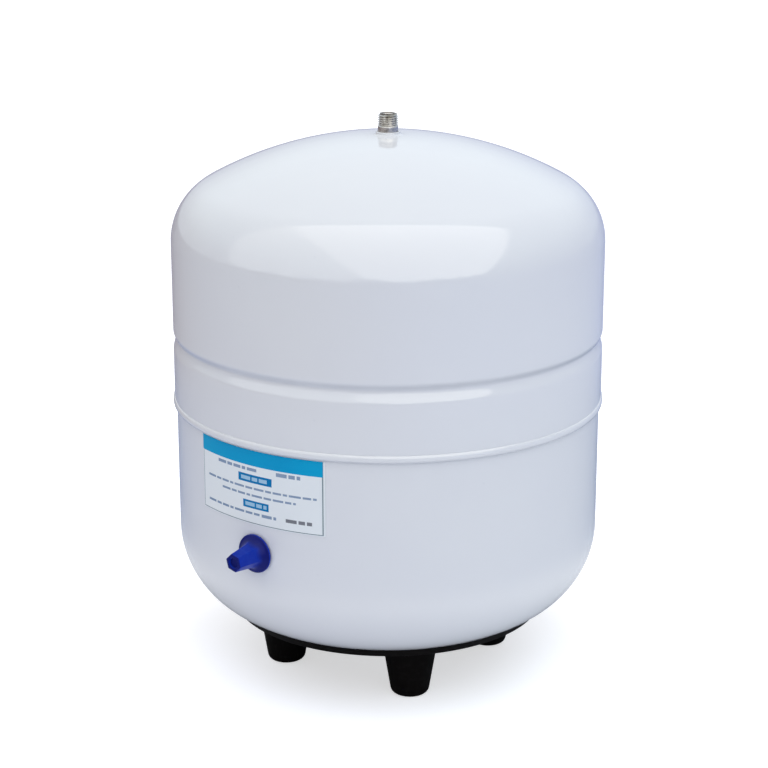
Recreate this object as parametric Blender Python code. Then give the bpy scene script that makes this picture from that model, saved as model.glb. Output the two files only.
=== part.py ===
# Reverse osmosis pressure tank: a steel shell in two halves with a diaphragm,
# a threaded water connector on top, an air valve with a screw cap on the side
# and a moulded stand. Metres, +Z up. The stand's feet rest on z = 0 and the
# air valve points to -Y.

import math

import bmesh
import bpy
from mathutils import Matrix

MM = 0.001

# Clearances between pieces
SEAT = 0.3 * MM
FINE_SEAT = 0.15 * MM

# Steel shells, with the heights of the straight wall above the lower tangent line
STEEL = 1.0 * MM
SHELL_RADIUS = 140.0 * MM
FLOOR_GAP = 21.2 * MM
LOWER_CROWN = 247.5 * MM
LOWER_KNUCKLE = 58.5 * MM
BEAD_RISE = 85.9 * MM
BAND_HEIGHT = 42.7 * MM
DOME_RISE = 62.1 * MM
UPPER_KNUCKLE = 42.0 * MM
UPPER_CROWN = 244.0 * MM
LOWER_RIM_DROP = 9.3 * MM
GROOVE_DEPTH = 1.7 * MM
GROOVE_UPPER_RUN = 6.0 * MM
GROOVE_LOWER_RUN = 9.0 * MM
BEAD_HALF_HEIGHT = 2.4 * MM
BEAD_PROUD = 1.0 * MM
COLLAR_RISE = 1.9 * MM
COLLAR_WALL = 0.8 * MM
COLLAR_FOOT_WIDTH = 1.6 * MM
COLLAR_WAIST_RISE = 0.5 * MM
COLLAR_WAIST_WIDTH = 0.3 * MM
COLLAR_INNER_DROP = 0.4 * MM

# Water connector and its seal
PORT_BORE_RADIUS = 3.6 * MM
THREAD_RADIUS = 6.5 * MM
THREAD_TAPER = 1.0 / 32.0
THREAD_LENGTH = 7.6 * MM
NECK_LENGTH = 3.0 * MM
PORT_CHAMFER = 0.9 * MM
PORT_COUNTERSINK = 0.8 * MM
PORT_FLANGE_RADIUS = 11.0 * MM
PORT_FLANGE_THICK = 2.0 * MM
PORT_STUB_RADIUS = 5.2 * MM
LINER_NUT_LENGTH = 7.3 * MM
LINER_NUT_FLANGE = 12.0 * MM
LINER_NUT_FLANGE_THICK = 2.0 * MM
LINER_NUT_FLATS = 17.0 * MM
O_RING_MIDDLE = 6.9 * MM
O_RING_SECTION = 0.8 * MM

# Liner, diaphragm and clench ring
LINER_WALL = 1.2 * MM
LINER_CREASE_GAP = 0.5 * MM
LINER_BOSS_WALL = 1.4 * MM
LINER_BOSS_MARGIN = 2.0 * MM
LINER_BOSS_BLEND = 2.8 * MM
DIAPHRAGM_WALL = 1.6 * MM
DIAPHRAGM_BEAD_WIDTH = 4.9 * MM
DIAPHRAGM_BEAD_HEIGHT = 9.0 * MM
DIAPHRAGM_DIP_GAP = 1.3 * MM
DIAPHRAGM_DIP_SLOPE = 12.0 * MM
CLENCH_STEEL = 1.2 * MM
CLENCH_HEIGHT = 13.5 * MM
CLENCH_BELOW_RIM = 4.5 * MM

# Air valve, measured outwards from the lower shell's front
VALVE_RISE = 15.6 * MM
STEM_RADIUS = 4.0 * MM
STEM_LENGTH = 17.0 * MM
STEM_THREAD_RADIUS = 3.85 * MM
STEM_SHANK_LENGTH = 5.0 * MM
STEM_HEAD_RADIUS = 8.0 * MM
STEM_HEAD_THICK = 2.0 * MM
STEM_BORE_RADIUS = 2.65 * MM
STEM_AIRWAY_RADIUS = 2.2 * MM
STEM_BORE_DEPTH = 8.0 * MM
STEM_BORE_CONE = 0.5 * MM
STEM_TIP_CHAMFER = 0.5 * MM
STEM_HOLE_CLEARANCE = 0.4 * MM
INNER_SEAL_THICK = 1.0 * MM
INNER_SEAL_SETBACK = 0.9 * MM
WASHER_RADIUS = 7.0 * MM
WASHER_THICK = 0.7 * MM
NUT_FLATS = 11.0 * MM
NUT_HEIGHT = 2.5 * MM

# Valve core
CORE_HEAD_RADIUS = 2.4 * MM
CORE_HEAD_LENGTH = 4.7 * MM
CORE_BARREL_RADIUS = 1.85 * MM
CORE_BARREL_LENGTH = 6.9 * MM
CORE_CHAMBER_RADIUS = 1.4 * MM
CORE_SETBACK = 0.8 * MM
CORE_END_WALL = 2.0 * MM
PIN_RADIUS = 0.55 * MM
PIN_HOLE_CLEARANCE = 0.3 * MM
PIN_COLLAR_RADIUS = 1.15 * MM
PIN_COLLAR_THICK = 0.8 * MM
PIN_HEAD_STEP = 0.4 * MM
PIN_HEAD_THICK = 0.45 * MM
GASKET_LENGTH = 1.8 * MM
GASKET_TAPER = 0.1 * MM
SPRING_WIRE_RADIUS = 0.17 * MM
SPRING_TURNS = 4.0
CORE_SEAL_RADIUS = 1.5 * MM
CORE_SEAL_THICK = 1.5 * MM

# Valve cap; the bell's waist points give shares of its height and width and of the hexagon
CAP_FLANGE_RADIUS = 12.5 * MM
CAP_FLANGE_EDGE = 1.5 * MM
CAP_EDGE_ROUND = 0.2 * MM
CAP_WAIST = ((0.22, 0.62, 0.0), (0.45, 0.36, 0.1), (0.75, 0.12, 0.45))
CAP_STUB_HEXAGON = 0.85
CAP_WALL_GAP = 0.5 * MM
CAP_LENGTH = 21.3 * MM
CAP_BELL_LENGTH = 6.6 * MM
CAP_STUB_RADIUS = 6.8 * MM
CAP_STUB_STEP = 0.5 * MM
CAP_END_RADIUS = 5.2 * MM
CAP_HEX_TURN = math.radians(45.0)
CAP_END_RECESS_RADIUS = 3.4 * MM
CAP_END_RECESS_DEPTH = 1.6 * MM
CAP_THREAD_CLEARANCE = 0.35 * MM
CAP_SEAL_SECTION = 0.65 * MM

# Label, between the valve and the band
LABEL_VALVE_GAP = 18.8 * MM
LABEL_BAND_GAP = 1.1 * MM
LABEL_CHORD = 97.2 * MM
LABEL_THICK = 0.3 * MM

# Stand
STAND_RIM_SETBACK = 33.2 * MM
STAND_RIM_SLOPE = 2.6 * MM
STAND_RIM_LIP = 1.1 * MM
STAND_INNER_RADIUS = 46.0 * MM
STAND_PLATE = 2.4 * MM
STAND_HOOP_DEPTH = 5.0 * MM
STAND_RIBS = 8
STAND_RIB_THICK = 2.0 * MM
STAND_RIB_INNER_DEPTH = 2.6 * MM
STAND_RIB_OUTER_DEPTH = 1.0 * MM
LEG_COUNT = 4
LEG_TURN = math.radians(3.0)
LEG_SETBACK = 36.8 * MM
LEG_FOOT_RADIUS = 12.2 * MM
LEG_DRAFT = math.radians(9.5)
LEG_FOOT_ROUND = 4.4 * MM
LEG_WALL = 2.4 * MM
LEG_SOLE = 3.0 * MM

# Facets
SHELL_SIDES = 40
SMALL_SIDES = 24
POLE_RADIUS = 1e-6
CROWN_STEPS = 4
KNUCKLE_STEPS = 4
PLATE_STEPS = 4

# Sizes that follow from the ones above
LOWER_RADIUS = SHELL_RADIUS - STEEL - SEAT
LOWER_CROWN_Z = FLOOR_GAP + LOWER_CROWN
LOWER_TANGENT_Z = LOWER_CROWN_Z - math.sqrt(
    (LOWER_CROWN - LOWER_KNUCKLE) ** 2 - (LOWER_RADIUS - LOWER_KNUCKLE) ** 2)
BEAD_Z = LOWER_TANGENT_Z + BEAD_RISE
GROOVE_Z = BEAD_Z + BAND_HEIGHT
LOWER_RIM_Z = GROOVE_Z - LOWER_RIM_DROP
UPPER_TANGENT_Z = GROOVE_Z + DOME_RISE
UPPER_CROWN_Z = UPPER_TANGENT_Z - math.sqrt(
    (UPPER_CROWN - UPPER_KNUCKLE) ** 2 - (SHELL_RADIUS - UPPER_KNUCKLE) ** 2)
APEX_Z = UPPER_CROWN_Z + UPPER_CROWN
PORT_HOLE_RADIUS = THREAD_RADIUS + SEAT
COLLAR_TOP_Z = APEX_Z + COLLAR_RISE
COLLAR_FOOT_RADIUS = PORT_HOLE_RADIUS + COLLAR_WALL + COLLAR_FOOT_WIDTH
PORT_TOP_Z = COLLAR_TOP_Z + NECK_LENGTH + THREAD_LENGTH + PORT_CHAMFER
LINER_INSET = STEEL + GROOVE_DEPTH + LINER_CREASE_GAP
DIAPHRAGM_INSET = LINER_INSET + LINER_WALL + SEAT
CLENCH_FLOOR_Z = LOWER_RIM_Z - CLENCH_BELOW_RIM
VALVE_Z = LOWER_TANGENT_Z + VALVE_RISE
LABEL_BOTTOM_Z = VALVE_Z + LABEL_VALVE_GAP
LABEL_TOP_Z = BEAD_Z - BEAD_HALF_HEIGHT - LABEL_BAND_GAP
STAND_RIM_RADIUS = SHELL_RADIUS - STAND_RIM_SETBACK
LEG_CIRCLE_RADIUS = STAND_RIM_RADIUS - LEG_SETBACK
CAP_END = CAP_WALL_GAP + CAP_LENGTH
BEAD_RADIUS = SHELL_RADIUS + BEAD_PROUD
AXIS_Y = (LOWER_RADIUS + CAP_END - BEAD_RADIUS) / 2.0


def clear_scene():
    for old in list(bpy.data.objects):
        bpy.data.objects.remove(old, do_unlink=True)
    for old in list(bpy.context.scene.collection.children):
        bpy.data.collections.remove(old)


def material(name, colour, roughness, metallic=0.0):
    made = bpy.data.materials.new(name)
    made.use_nodes = True
    shader = made.node_tree.nodes["Principled BSDF"]
    shader.inputs["Base Color"].default_value = (*colour, 1.0)
    shader.inputs["Roughness"].default_value = roughness
    shader.inputs["Metallic"].default_value = metallic
    made.diffuse_color = (*colour, 1.0)
    return made


def axis_empty(name, location, turn_x=0.0, parent=None):
    empty = bpy.data.objects.new(name, None)
    bpy.context.collection.objects.link(empty)
    empty.location = location
    empty.rotation_euler = (turn_x, 0.0, 0.0)
    empty.parent = parent
    return empty


def add_object(name, mesh, finish, parent):
    made = bpy.data.objects.new(name, mesh)
    bpy.context.collection.objects.link(made)
    made.parent = parent
    if finish:
        mesh.materials.append(finish)
    return made


def arc(centre_r, centre_z, radius, start, end, steps):
    # Points of an arc in the (r, z) plane, angles in radians from the +r direction
    angles = [start + (end - start) * i / steps for i in range(steps + 1)]
    return [(centre_r + radius * math.cos(a), centre_z + radius * math.sin(a)) for a in angles]


def dome(radius, knuckle, crown, tangent_z, inset, start_r, direction):
    # A dished end from start_r out to the tangent line, set in from the outer surface.
    # Its points lie on the same rays at every inset, so that nested walls keep their gap.
    knuckle_r = radius - knuckle
    rise = math.sqrt((crown - knuckle) ** 2 - knuckle_r ** 2)
    meeting = math.atan2(rise, knuckle_r)
    points = [(start_r, math.sqrt((crown - inset) ** 2 - start_r ** 2) - rise)]
    stations = arc(0.0, -rise, crown - inset, math.pi / 2.0, meeting, CROWN_STEPS)
    points += [(r, z) for r, z in stations if r > 1.2 * start_r + POLE_RADIUS]
    points += arc(knuckle_r, 0.0, knuckle - inset, meeting, 0.0, KNUCKLE_STEPS)[1:]
    return [(r, tangent_z + direction * z) for r, z in points]


def upper_dome(inset, start_r):
    return dome(SHELL_RADIUS, UPPER_KNUCKLE, UPPER_CROWN, UPPER_TANGENT_Z, inset, start_r, 1.0)


def lower_dome(inset, start_r):
    return dome(LOWER_RADIUS, LOWER_KNUCKLE, LOWER_CROWN, LOWER_TANGENT_Z, inset, start_r, -1.0)


def lower_dome_z(inset, r):
    # Height of the lower dome's surface at radius r
    knuckle_r = LOWER_RADIUS - LOWER_KNUCKLE
    meeting_r = (LOWER_CROWN - inset) * knuckle_r / (LOWER_CROWN - LOWER_KNUCKLE)
    if r <= meeting_r:
        return LOWER_CROWN_Z - math.sqrt((LOWER_CROWN - inset) ** 2 - r ** 2)
    return LOWER_TANGENT_Z - math.sqrt((LOWER_KNUCKLE - inset) ** 2 - (r - knuckle_r) ** 2)


def upper_crown_z(inset, r):
    return UPPER_CROWN_Z + math.sqrt((UPPER_CROWN - inset) ** 2 - r ** 2)


def hex_factor(angle, turn):
    # How much further out a hexagon lies than its flats, with a corner at the turn
    return 1.0 / math.cos((angle - turn) % (math.pi / 3.0) - math.pi / 6.0)


def turned_mesh(name, profile, sides, turn=0.0):
    # A closed outline revolved about Z. A point is (r, z) or (r, z, share of hexagon),
    # and a point on the axis becomes a pole.
    mesh_points = []
    rings = []
    for point in profile:
        r, z = point[0], point[1]
        hexagon = point[2] if len(point) > 2 else 0.0
        if r < POLE_RADIUS:
            rings.append([len(mesh_points)])
            mesh_points.append((0.0, 0.0, z))
            continue
        rings.append(list(range(len(mesh_points), len(mesh_points) + sides)))
        for i in range(sides):
            angle = 2.0 * math.pi * i / sides
            reach = r * (1.0 + hexagon * (hex_factor(angle, turn) - 1.0))
            mesh_points.append((reach * math.cos(angle), reach * math.sin(angle), z))
    faces = []
    for a, b in zip(rings, rings[1:] + rings[:1]):
        if len(a) == 1 and len(b) == 1:
            continue
        for i in range(sides):
            j = (i + 1) % sides
            corners = [a[i % len(a)], a[j % len(a)], b[j % len(b)], b[i % len(b)]]
            faces.append(list(dict.fromkeys(corners)))
    mesh = bpy.data.meshes.new(name)
    mesh.from_pydata(mesh_points, [], faces)
    work = bmesh.new()
    work.from_mesh(mesh)
    bmesh.ops.recalc_face_normals(work, faces=work.faces)
    work.to_mesh(mesh)
    work.free()
    mesh.shade_smooth()
    mesh.set_sharp_from_angle(angle=math.radians(35.0))
    return mesh


def turned(name, profile, finish, parent, sides=SMALL_SIDES, turn=0.0):
    return add_object(name, turned_mesh(name, profile, sides, turn), finish, parent)


def ring(inner, outer, low, high):
    return [(inner, low), (outer, low), (outer, high), (inner, high)]


def torus(middle, section, centre_z, steps):
    return arc(middle, centre_z, section, 0.0, 2.0 * math.pi, steps)[:-1]


def cutter(name, mesh, parent):
    made = add_object(name, mesh, None, parent)
    made.hide_render = True
    made.display_type = "WIRE"
    return made


def boolean(target, tool, operation):
    made = target.modifiers.new(tool.name, "BOOLEAN")
    made.operation = operation
    made.solver = "EXACT"
    made.object = tool


def boolean_all(target, name, tools, operation):
    # One cut or union with many tools at once, so that nothing is rounded in between
    group = bpy.data.collections.new(name)
    bpy.context.scene.collection.children.link(group)
    for tool in tools:
        bpy.context.collection.objects.unlink(tool)
        group.objects.link(tool)
    made = target.modifiers.new(name, "BOOLEAN")
    made.operation = operation
    made.solver = "EXACT"
    made.operand_type = "COLLECTION"
    made.collection = group


def box_mesh(name, size, centre):
    mesh = bpy.data.meshes.new(name)
    work = bmesh.new()
    place = Matrix.Translation(centre) @ Matrix.Diagonal((*size, 1.0))
    bmesh.ops.create_cube(work, size=1.0, matrix=place)
    work.to_mesh(mesh)
    work.free()
    return mesh


def groove_points(inset):
    # The rolled groove from above to below, as shares of its runs and of its depth: it curves
    # in ever more steeply down to its bottom, and runs out softly below
    outer = SHELL_RADIUS - inset
    upper = ((1.0, 0.0), (0.45, 0.3))
    lower = ((0.0, 1.0), (0.3, 0.78), (0.65, 0.25), (1.0, 0.0))
    points = [(outer - depth * GROOVE_DEPTH, GROOVE_Z + run * GROOVE_UPPER_RUN) for run, depth in upper]
    points += [(outer - depth * GROOVE_DEPTH, GROOVE_Z - run * GROOVE_LOWER_RUN) for run, depth in lower]
    return points


def build_upper_shell(finish, parent):
    bead = [(SHELL_RADIUS + BEAD_PROUD * math.cos(a), BEAD_Z - BEAD_HALF_HEIGHT * math.sin(a))
            for a in [math.radians(d) for d in (-90.0, -45.0, 0.0, 45.0, 90.0)]]
    outer = [(PORT_HOLE_RADIUS, COLLAR_TOP_Z),
             (PORT_HOLE_RADIUS + COLLAR_WALL, COLLAR_TOP_Z),
             (PORT_HOLE_RADIUS + COLLAR_WALL + COLLAR_WAIST_WIDTH, APEX_Z + COLLAR_WAIST_RISE)]
    outer += upper_dome(0.0, COLLAR_FOOT_RADIUS) + groove_points(0.0) + bead
    inner = upper_dome(STEEL, PORT_HOLE_RADIUS + COLLAR_WALL) + groove_points(STEEL)
    inner.append((SHELL_RADIUS - STEEL, BEAD_Z - BEAD_HALF_HEIGHT))
    inner.insert(0, (PORT_HOLE_RADIUS, APEX_Z - COLLAR_INNER_DROP))
    return turned("upper_shell", outer + inner[::-1], finish, parent, SHELL_SIDES)


def build_lower_shell(finish, parent, valve_axis):
    outer = lower_dome(0.0, 0.0) + [(LOWER_RADIUS, LOWER_RIM_Z)]
    inner = lower_dome(STEEL, 0.0) + [(LOWER_RADIUS - STEEL, LOWER_RIM_Z)]
    shell = turned("lower_shell", outer + inner[::-1], finish, parent, SHELL_SIDES)
    reach = 6.0 * STEEL
    hole = [(0.0, -reach), (STEM_RADIUS + STEM_HOLE_CLEARANCE, -reach),
            (STEM_RADIUS + STEM_HOLE_CLEARANCE, reach), (0.0, reach)]
    hole_mesh = turned_mesh("valve_hole", hole, SMALL_SIDES)
    boolean(shell, cutter("valve_hole", hole_mesh, valve_axis), "DIFFERENCE")
    return shell


def build_port(steel_finish, rubber_finish, plastic_finish, parent):
    flange_top = upper_crown_z(STEEL, PORT_FLANGE_RADIUS) - SEAT
    flange_low = flange_top - PORT_FLANGE_THICK
    boss_top = flange_low - SEAT
    seal_floor = flange_low - 2.0 * O_RING_SECTION - 2.0 * FINE_SEAT
    boss_low = seal_floor - LINER_BOSS_WALL
    nut_top = boss_low - SEAT
    nut_low = nut_top - LINER_NUT_LENGTH
    thread_low = COLLAR_TOP_Z + NECK_LENGTH
    thread_high = thread_low + THREAD_LENGTH
    crest = THREAD_RADIUS - THREAD_TAPER * THREAD_LENGTH
    connector = [(PORT_BORE_RADIUS, nut_low - SEAT), (PORT_STUB_RADIUS, nut_low - SEAT),
                 (PORT_STUB_RADIUS, flange_low), (PORT_FLANGE_RADIUS, flange_low),
                 (PORT_FLANGE_RADIUS, flange_top), (THREAD_RADIUS, flange_top),
                 (THREAD_RADIUS, thread_low), (crest, thread_high),
                 (crest - PORT_CHAMFER, PORT_TOP_Z), (PORT_BORE_RADIUS + PORT_COUNTERSINK, PORT_TOP_Z),
                 (PORT_BORE_RADIUS, PORT_TOP_Z - PORT_COUNTERSINK)]
    turned("water_connector", connector, steel_finish, parent)
    seal = torus(O_RING_MIDDLE, O_RING_SECTION, flange_low - FINE_SEAT - O_RING_SECTION, 8)
    turned("connector_o_ring", seal, rubber_finish, parent)
    bore = PORT_STUB_RADIUS + SEAT
    step = nut_top - LINER_NUT_FLANGE_THICK
    nut = [(bore, nut_low), (LINER_NUT_FLATS / 2.0, nut_low, 1.0), (LINER_NUT_FLATS / 2.0, step, 1.0),
           (LINER_NUT_FLANGE, step), (LINER_NUT_FLANGE, nut_top), (bore, nut_top)]
    turned("liner_nut", nut, steel_finish, parent)

    seal_wall = O_RING_MIDDLE + O_RING_SECTION + SEAT
    boss_radius = PORT_FLANGE_RADIUS + LINER_BOSS_MARGIN
    outer = [(bore, seal_floor), (seal_wall, seal_floor), (seal_wall, boss_top), (boss_radius, boss_top)]
    outer += upper_dome(LINER_INSET, boss_radius + LINER_WALL)
    outer.append((SHELL_RADIUS - LINER_INSET, CLENCH_FLOOR_Z + CLENCH_STEEL + SEAT))
    inner = [(bore, boss_low), (boss_radius, boss_low)]
    inner += upper_dome(LINER_INSET + LINER_WALL, boss_radius + LINER_WALL + LINER_BOSS_BLEND)
    inner.append((SHELL_RADIUS - LINER_INSET - LINER_WALL, CLENCH_FLOOR_Z + CLENCH_STEEL + SEAT))
    turned("water_liner", outer + inner[::-1], plastic_finish, parent, SHELL_SIDES)
    return nut_low


def build_diaphragm(finish, parent, nut_low):
    # The membrane lies against the liner and dips round the nut in its middle
    dip_z = nut_low - DIAPHRAGM_DIP_GAP
    dip_radius = LINER_NUT_FLANGE + LINER_BOSS_WALL
    shoulder = dip_radius + DIAPHRAGM_DIP_SLOPE
    bead_low = CLENCH_FLOOR_Z + CLENCH_STEEL + SEAT
    bead_inner = SHELL_RADIUS - DIAPHRAGM_INSET - DIAPHRAGM_BEAD_WIDTH
    outer = [(0.0, dip_z), (dip_radius, dip_z)] + upper_dome(DIAPHRAGM_INSET, shoulder)
    outer.append((SHELL_RADIUS - DIAPHRAGM_INSET, bead_low))
    wall = DIAPHRAGM_INSET + DIAPHRAGM_WALL
    inner = [(0.0, dip_z - DIAPHRAGM_WALL), (dip_radius + DIAPHRAGM_WALL, dip_z - DIAPHRAGM_WALL)]
    inner += upper_dome(wall, shoulder + DIAPHRAGM_WALL)
    inner += [(SHELL_RADIUS - wall, bead_low + DIAPHRAGM_BEAD_HEIGHT + DIAPHRAGM_WALL),
              (bead_inner, bead_low + DIAPHRAGM_BEAD_HEIGHT), (bead_inner, bead_low)]
    return turned("diaphragm", outer + inner[::-1], finish, parent, SHELL_SIDES)


def build_clench_ring(finish, parent):
    # An angle ring: its upright presses the bead out, its foot carries bead and liner
    upright = SHELL_RADIUS - DIAPHRAGM_INSET - DIAPHRAGM_BEAD_WIDTH - SEAT
    foot = LOWER_RADIUS - STEEL - SEAT
    profile = [(upright - CLENCH_STEEL, CLENCH_FLOOR_Z), (foot, CLENCH_FLOOR_Z),
               (foot, CLENCH_FLOOR_Z + CLENCH_STEEL), (upright, CLENCH_FLOOR_Z + CLENCH_STEEL),
               (upright, CLENCH_FLOOR_Z + CLENCH_HEIGHT),
               (upright - CLENCH_STEEL, CLENCH_FLOOR_Z + CLENCH_HEIGHT)]
    return turned("clench_ring", profile, finish, parent, SHELL_SIDES)


def build_label(finish, parent):
    inner = LOWER_RADIUS + SEAT
    film = turned("label", ring(inner, inner + LABEL_THICK, LABEL_BOTTOM_Z, LABEL_TOP_Z), finish, parent,
                  SHELL_SIDES)
    depth = LOWER_RADIUS
    window = box_mesh("label_window", (LABEL_CHORD, depth, 2.0 * (LABEL_TOP_Z - LABEL_BOTTOM_Z)),
                      (0.0, -LOWER_RADIUS, (LABEL_TOP_Z + LABEL_BOTTOM_Z) / 2.0))
    boolean(film, cutter("label_window", window, parent), "INTERSECT")
    return film


def build_stand(finish, parent):
    # A dished ring under the shell with a sloped rim, a hoop round its open middle and ribs.
    # The blank reaches a plate's thickness above the seat, and the dome's shape cuts it.
    under = -SEAT - STAND_PLATE
    rim_top = lower_dome_z(-SEAT, STAND_RIM_RADIUS)
    rim_foot = STAND_RIM_RADIUS - STAND_RIM_SLOPE
    rim_low = lower_dome_z(under, rim_foot) - STAND_RIM_LIP
    slope = STAND_RIM_SLOPE / (rim_top - rim_low)
    hoop_outer = STAND_INNER_RADIUS + STAND_PLATE
    hoop_low = lower_dome_z(under, STAND_INNER_RADIUS) - STAND_HOOP_DEPTH + STAND_PLATE
    span = rim_foot - STAND_PLATE - hoop_outer
    stations = [hoop_outer + span * i / PLATE_STEPS for i in range(PLATE_STEPS + 1)]
    profile = [(STAND_INNER_RADIUS, lower_dome_z(STAND_PLATE, STAND_INNER_RADIUS)),
               (STAND_RIM_RADIUS + slope * STAND_PLATE, rim_top + STAND_PLATE), (rim_foot, rim_low)]
    profile += [(r, lower_dome_z(under, r)) for r in stations[::-1]]
    profile += [(hoop_outer, hoop_low), (STAND_INNER_RADIUS, hoop_low)]
    stand = turned("base_stand", profile, finish, parent, SHELL_SIDES)
    stand.rotation_euler = (0.0, 0.0, math.pi / SHELL_SIDES)

    legs, cores = leg_tools(rim_top + STAND_PLATE, parent)
    ribs = [rib_tool(i, hoop_outer, rim_foot, parent) for i in range(STAND_RIBS)]
    seat_mesh = turned_mesh("stand_seat", lower_dome(-SEAT, 0.0) + [(0.0, LOWER_TANGENT_Z)], SHELL_SIDES)
    seat = cutter("stand_seat", seat_mesh, parent)
    boolean_all(stand, "stand_legs_and_ribs", legs + ribs, "UNION")
    boolean_all(stand, "stand_cores_and_seat", cores + [seat], "DIFFERENCE")
    return stand


def leg_tools(leg_top, parent):
    # Drafted legs with a rounded foot, and the cores that hollow them
    draft = math.tan(LEG_DRAFT)
    leg = [(0.0, 0.0)] + arc(LEG_FOOT_RADIUS - LEG_FOOT_ROUND, LEG_FOOT_ROUND, LEG_FOOT_ROUND,
                             math.radians(-90.0), -LEG_DRAFT, 3)
    leg += [(LEG_FOOT_RADIUS + draft * leg_top, leg_top), (0.0, leg_top)]
    core_radius = LEG_FOOT_RADIUS - LEG_WALL
    core_top = leg_top + STAND_PLATE
    core = [(0.0, LEG_SOLE), (core_radius + draft * LEG_SOLE, LEG_SOLE),
            (core_radius + draft * core_top, core_top), (0.0, core_top)]
    leg_mesh = turned_mesh("stand_leg", leg, SMALL_SIDES)
    core_mesh = turned_mesh("stand_leg_core", core, SMALL_SIDES)
    legs = []
    cores = []
    for i in range(LEG_COUNT):
        angle = 2.0 * math.pi * (i + 0.5) / LEG_COUNT + LEG_TURN
        legs.append(cutter("stand_leg_%d" % i, leg_mesh, parent))
        cores.append(cutter("stand_leg_core_%d" % i, core_mesh, parent))
        for tool in (legs[-1], cores[-1]):
            tool.location = (LEG_CIRCLE_RADIUS * math.cos(angle), LEG_CIRCLE_RADIUS * math.sin(angle), 0.0)
            tool.rotation_euler = (0.0, 0.0, angle + math.pi / SMALL_SIDES)
    return legs, cores


def rib_tool(index, inner_r, outer_r, parent):
    # A radial rib under the plate, deeper at the hoop and running out at the rim
    half = STAND_RIB_THICK / 2.0
    inner = inner_r - STAND_PLATE / 2.0
    outer = outer_r - STAND_PLATE / 2.0
    inner_under = lower_dome_z(-SEAT - STAND_PLATE, inner)
    outer_under = lower_dome_z(-SEAT - STAND_PLATE, outer)
    overlap = STAND_PLATE / 2.0
    outline = [(inner, inner_under - STAND_RIB_INNER_DEPTH), (outer, outer_under - STAND_RIB_OUTER_DEPTH),
               (outer, outer_under + overlap), (inner, inner_under + overlap)]
    mesh = bpy.data.meshes.new("stand_rib")
    points = [(r, side * half, z) for side in (-1.0, 1.0) for r, z in outline]
    faces = [(0, 1, 2, 3), (7, 6, 5, 4), (0, 4, 5, 1), (1, 5, 6, 2), (2, 6, 7, 3), (3, 7, 4, 0)]
    mesh.from_pydata(points, [], faces)
    tool = cutter("stand_rib_%d" % index, mesh, parent)
    tool.rotation_euler = (0.0, 0.0, 2.0 * math.pi * index / STAND_RIBS + LEG_TURN)
    return tool


def build_valve(brass_finish, steel_finish, rubber_finish, valve_axis):
    head_high = -STEEL - INNER_SEAL_SETBACK - INNER_SEAL_THICK - SEAT
    head_low = head_high - STEM_HEAD_THICK
    bore_low = STEM_LENGTH - STEM_BORE_DEPTH
    stem = [(STEM_AIRWAY_RADIUS, head_low), (STEM_HEAD_RADIUS, head_low), (STEM_HEAD_RADIUS, head_high),
            (STEM_RADIUS, head_high), (STEM_RADIUS, STEM_SHANK_LENGTH),
            (STEM_THREAD_RADIUS, STEM_SHANK_LENGTH), (STEM_THREAD_RADIUS, STEM_LENGTH - STEM_TIP_CHAMFER),
            (STEM_THREAD_RADIUS - STEM_TIP_CHAMFER, STEM_LENGTH), (STEM_BORE_RADIUS, STEM_LENGTH),
            (STEM_BORE_RADIUS, bore_low), (STEM_AIRWAY_RADIUS, bore_low - STEM_BORE_CONE)]
    turned("valve_stem", stem, brass_finish, valve_axis)
    seal_high = -STEEL - INNER_SEAL_SETBACK
    seal = ring(STEM_RADIUS + SEAT, STEM_HEAD_RADIUS, seal_high - INNER_SEAL_THICK, seal_high)
    turned("valve_inner_seal", seal, rubber_finish, valve_axis)
    washer = ring(STEM_RADIUS + SEAT, WASHER_RADIUS, SEAT, SEAT + WASHER_THICK)
    turned("valve_flat_washer", washer, steel_finish, valve_axis)
    nut_low = SEAT + WASHER_THICK + FINE_SEAT
    nut_high = nut_low + NUT_HEIGHT
    flats = NUT_FLATS / 2.0
    bore = STEM_RADIUS + FINE_SEAT
    nut = [(bore, nut_low), (flats, nut_low, 1.0), (flats, nut_high, 1.0), (bore, nut_high)]
    turned("valve_nut", nut, brass_finish, valve_axis)


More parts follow.
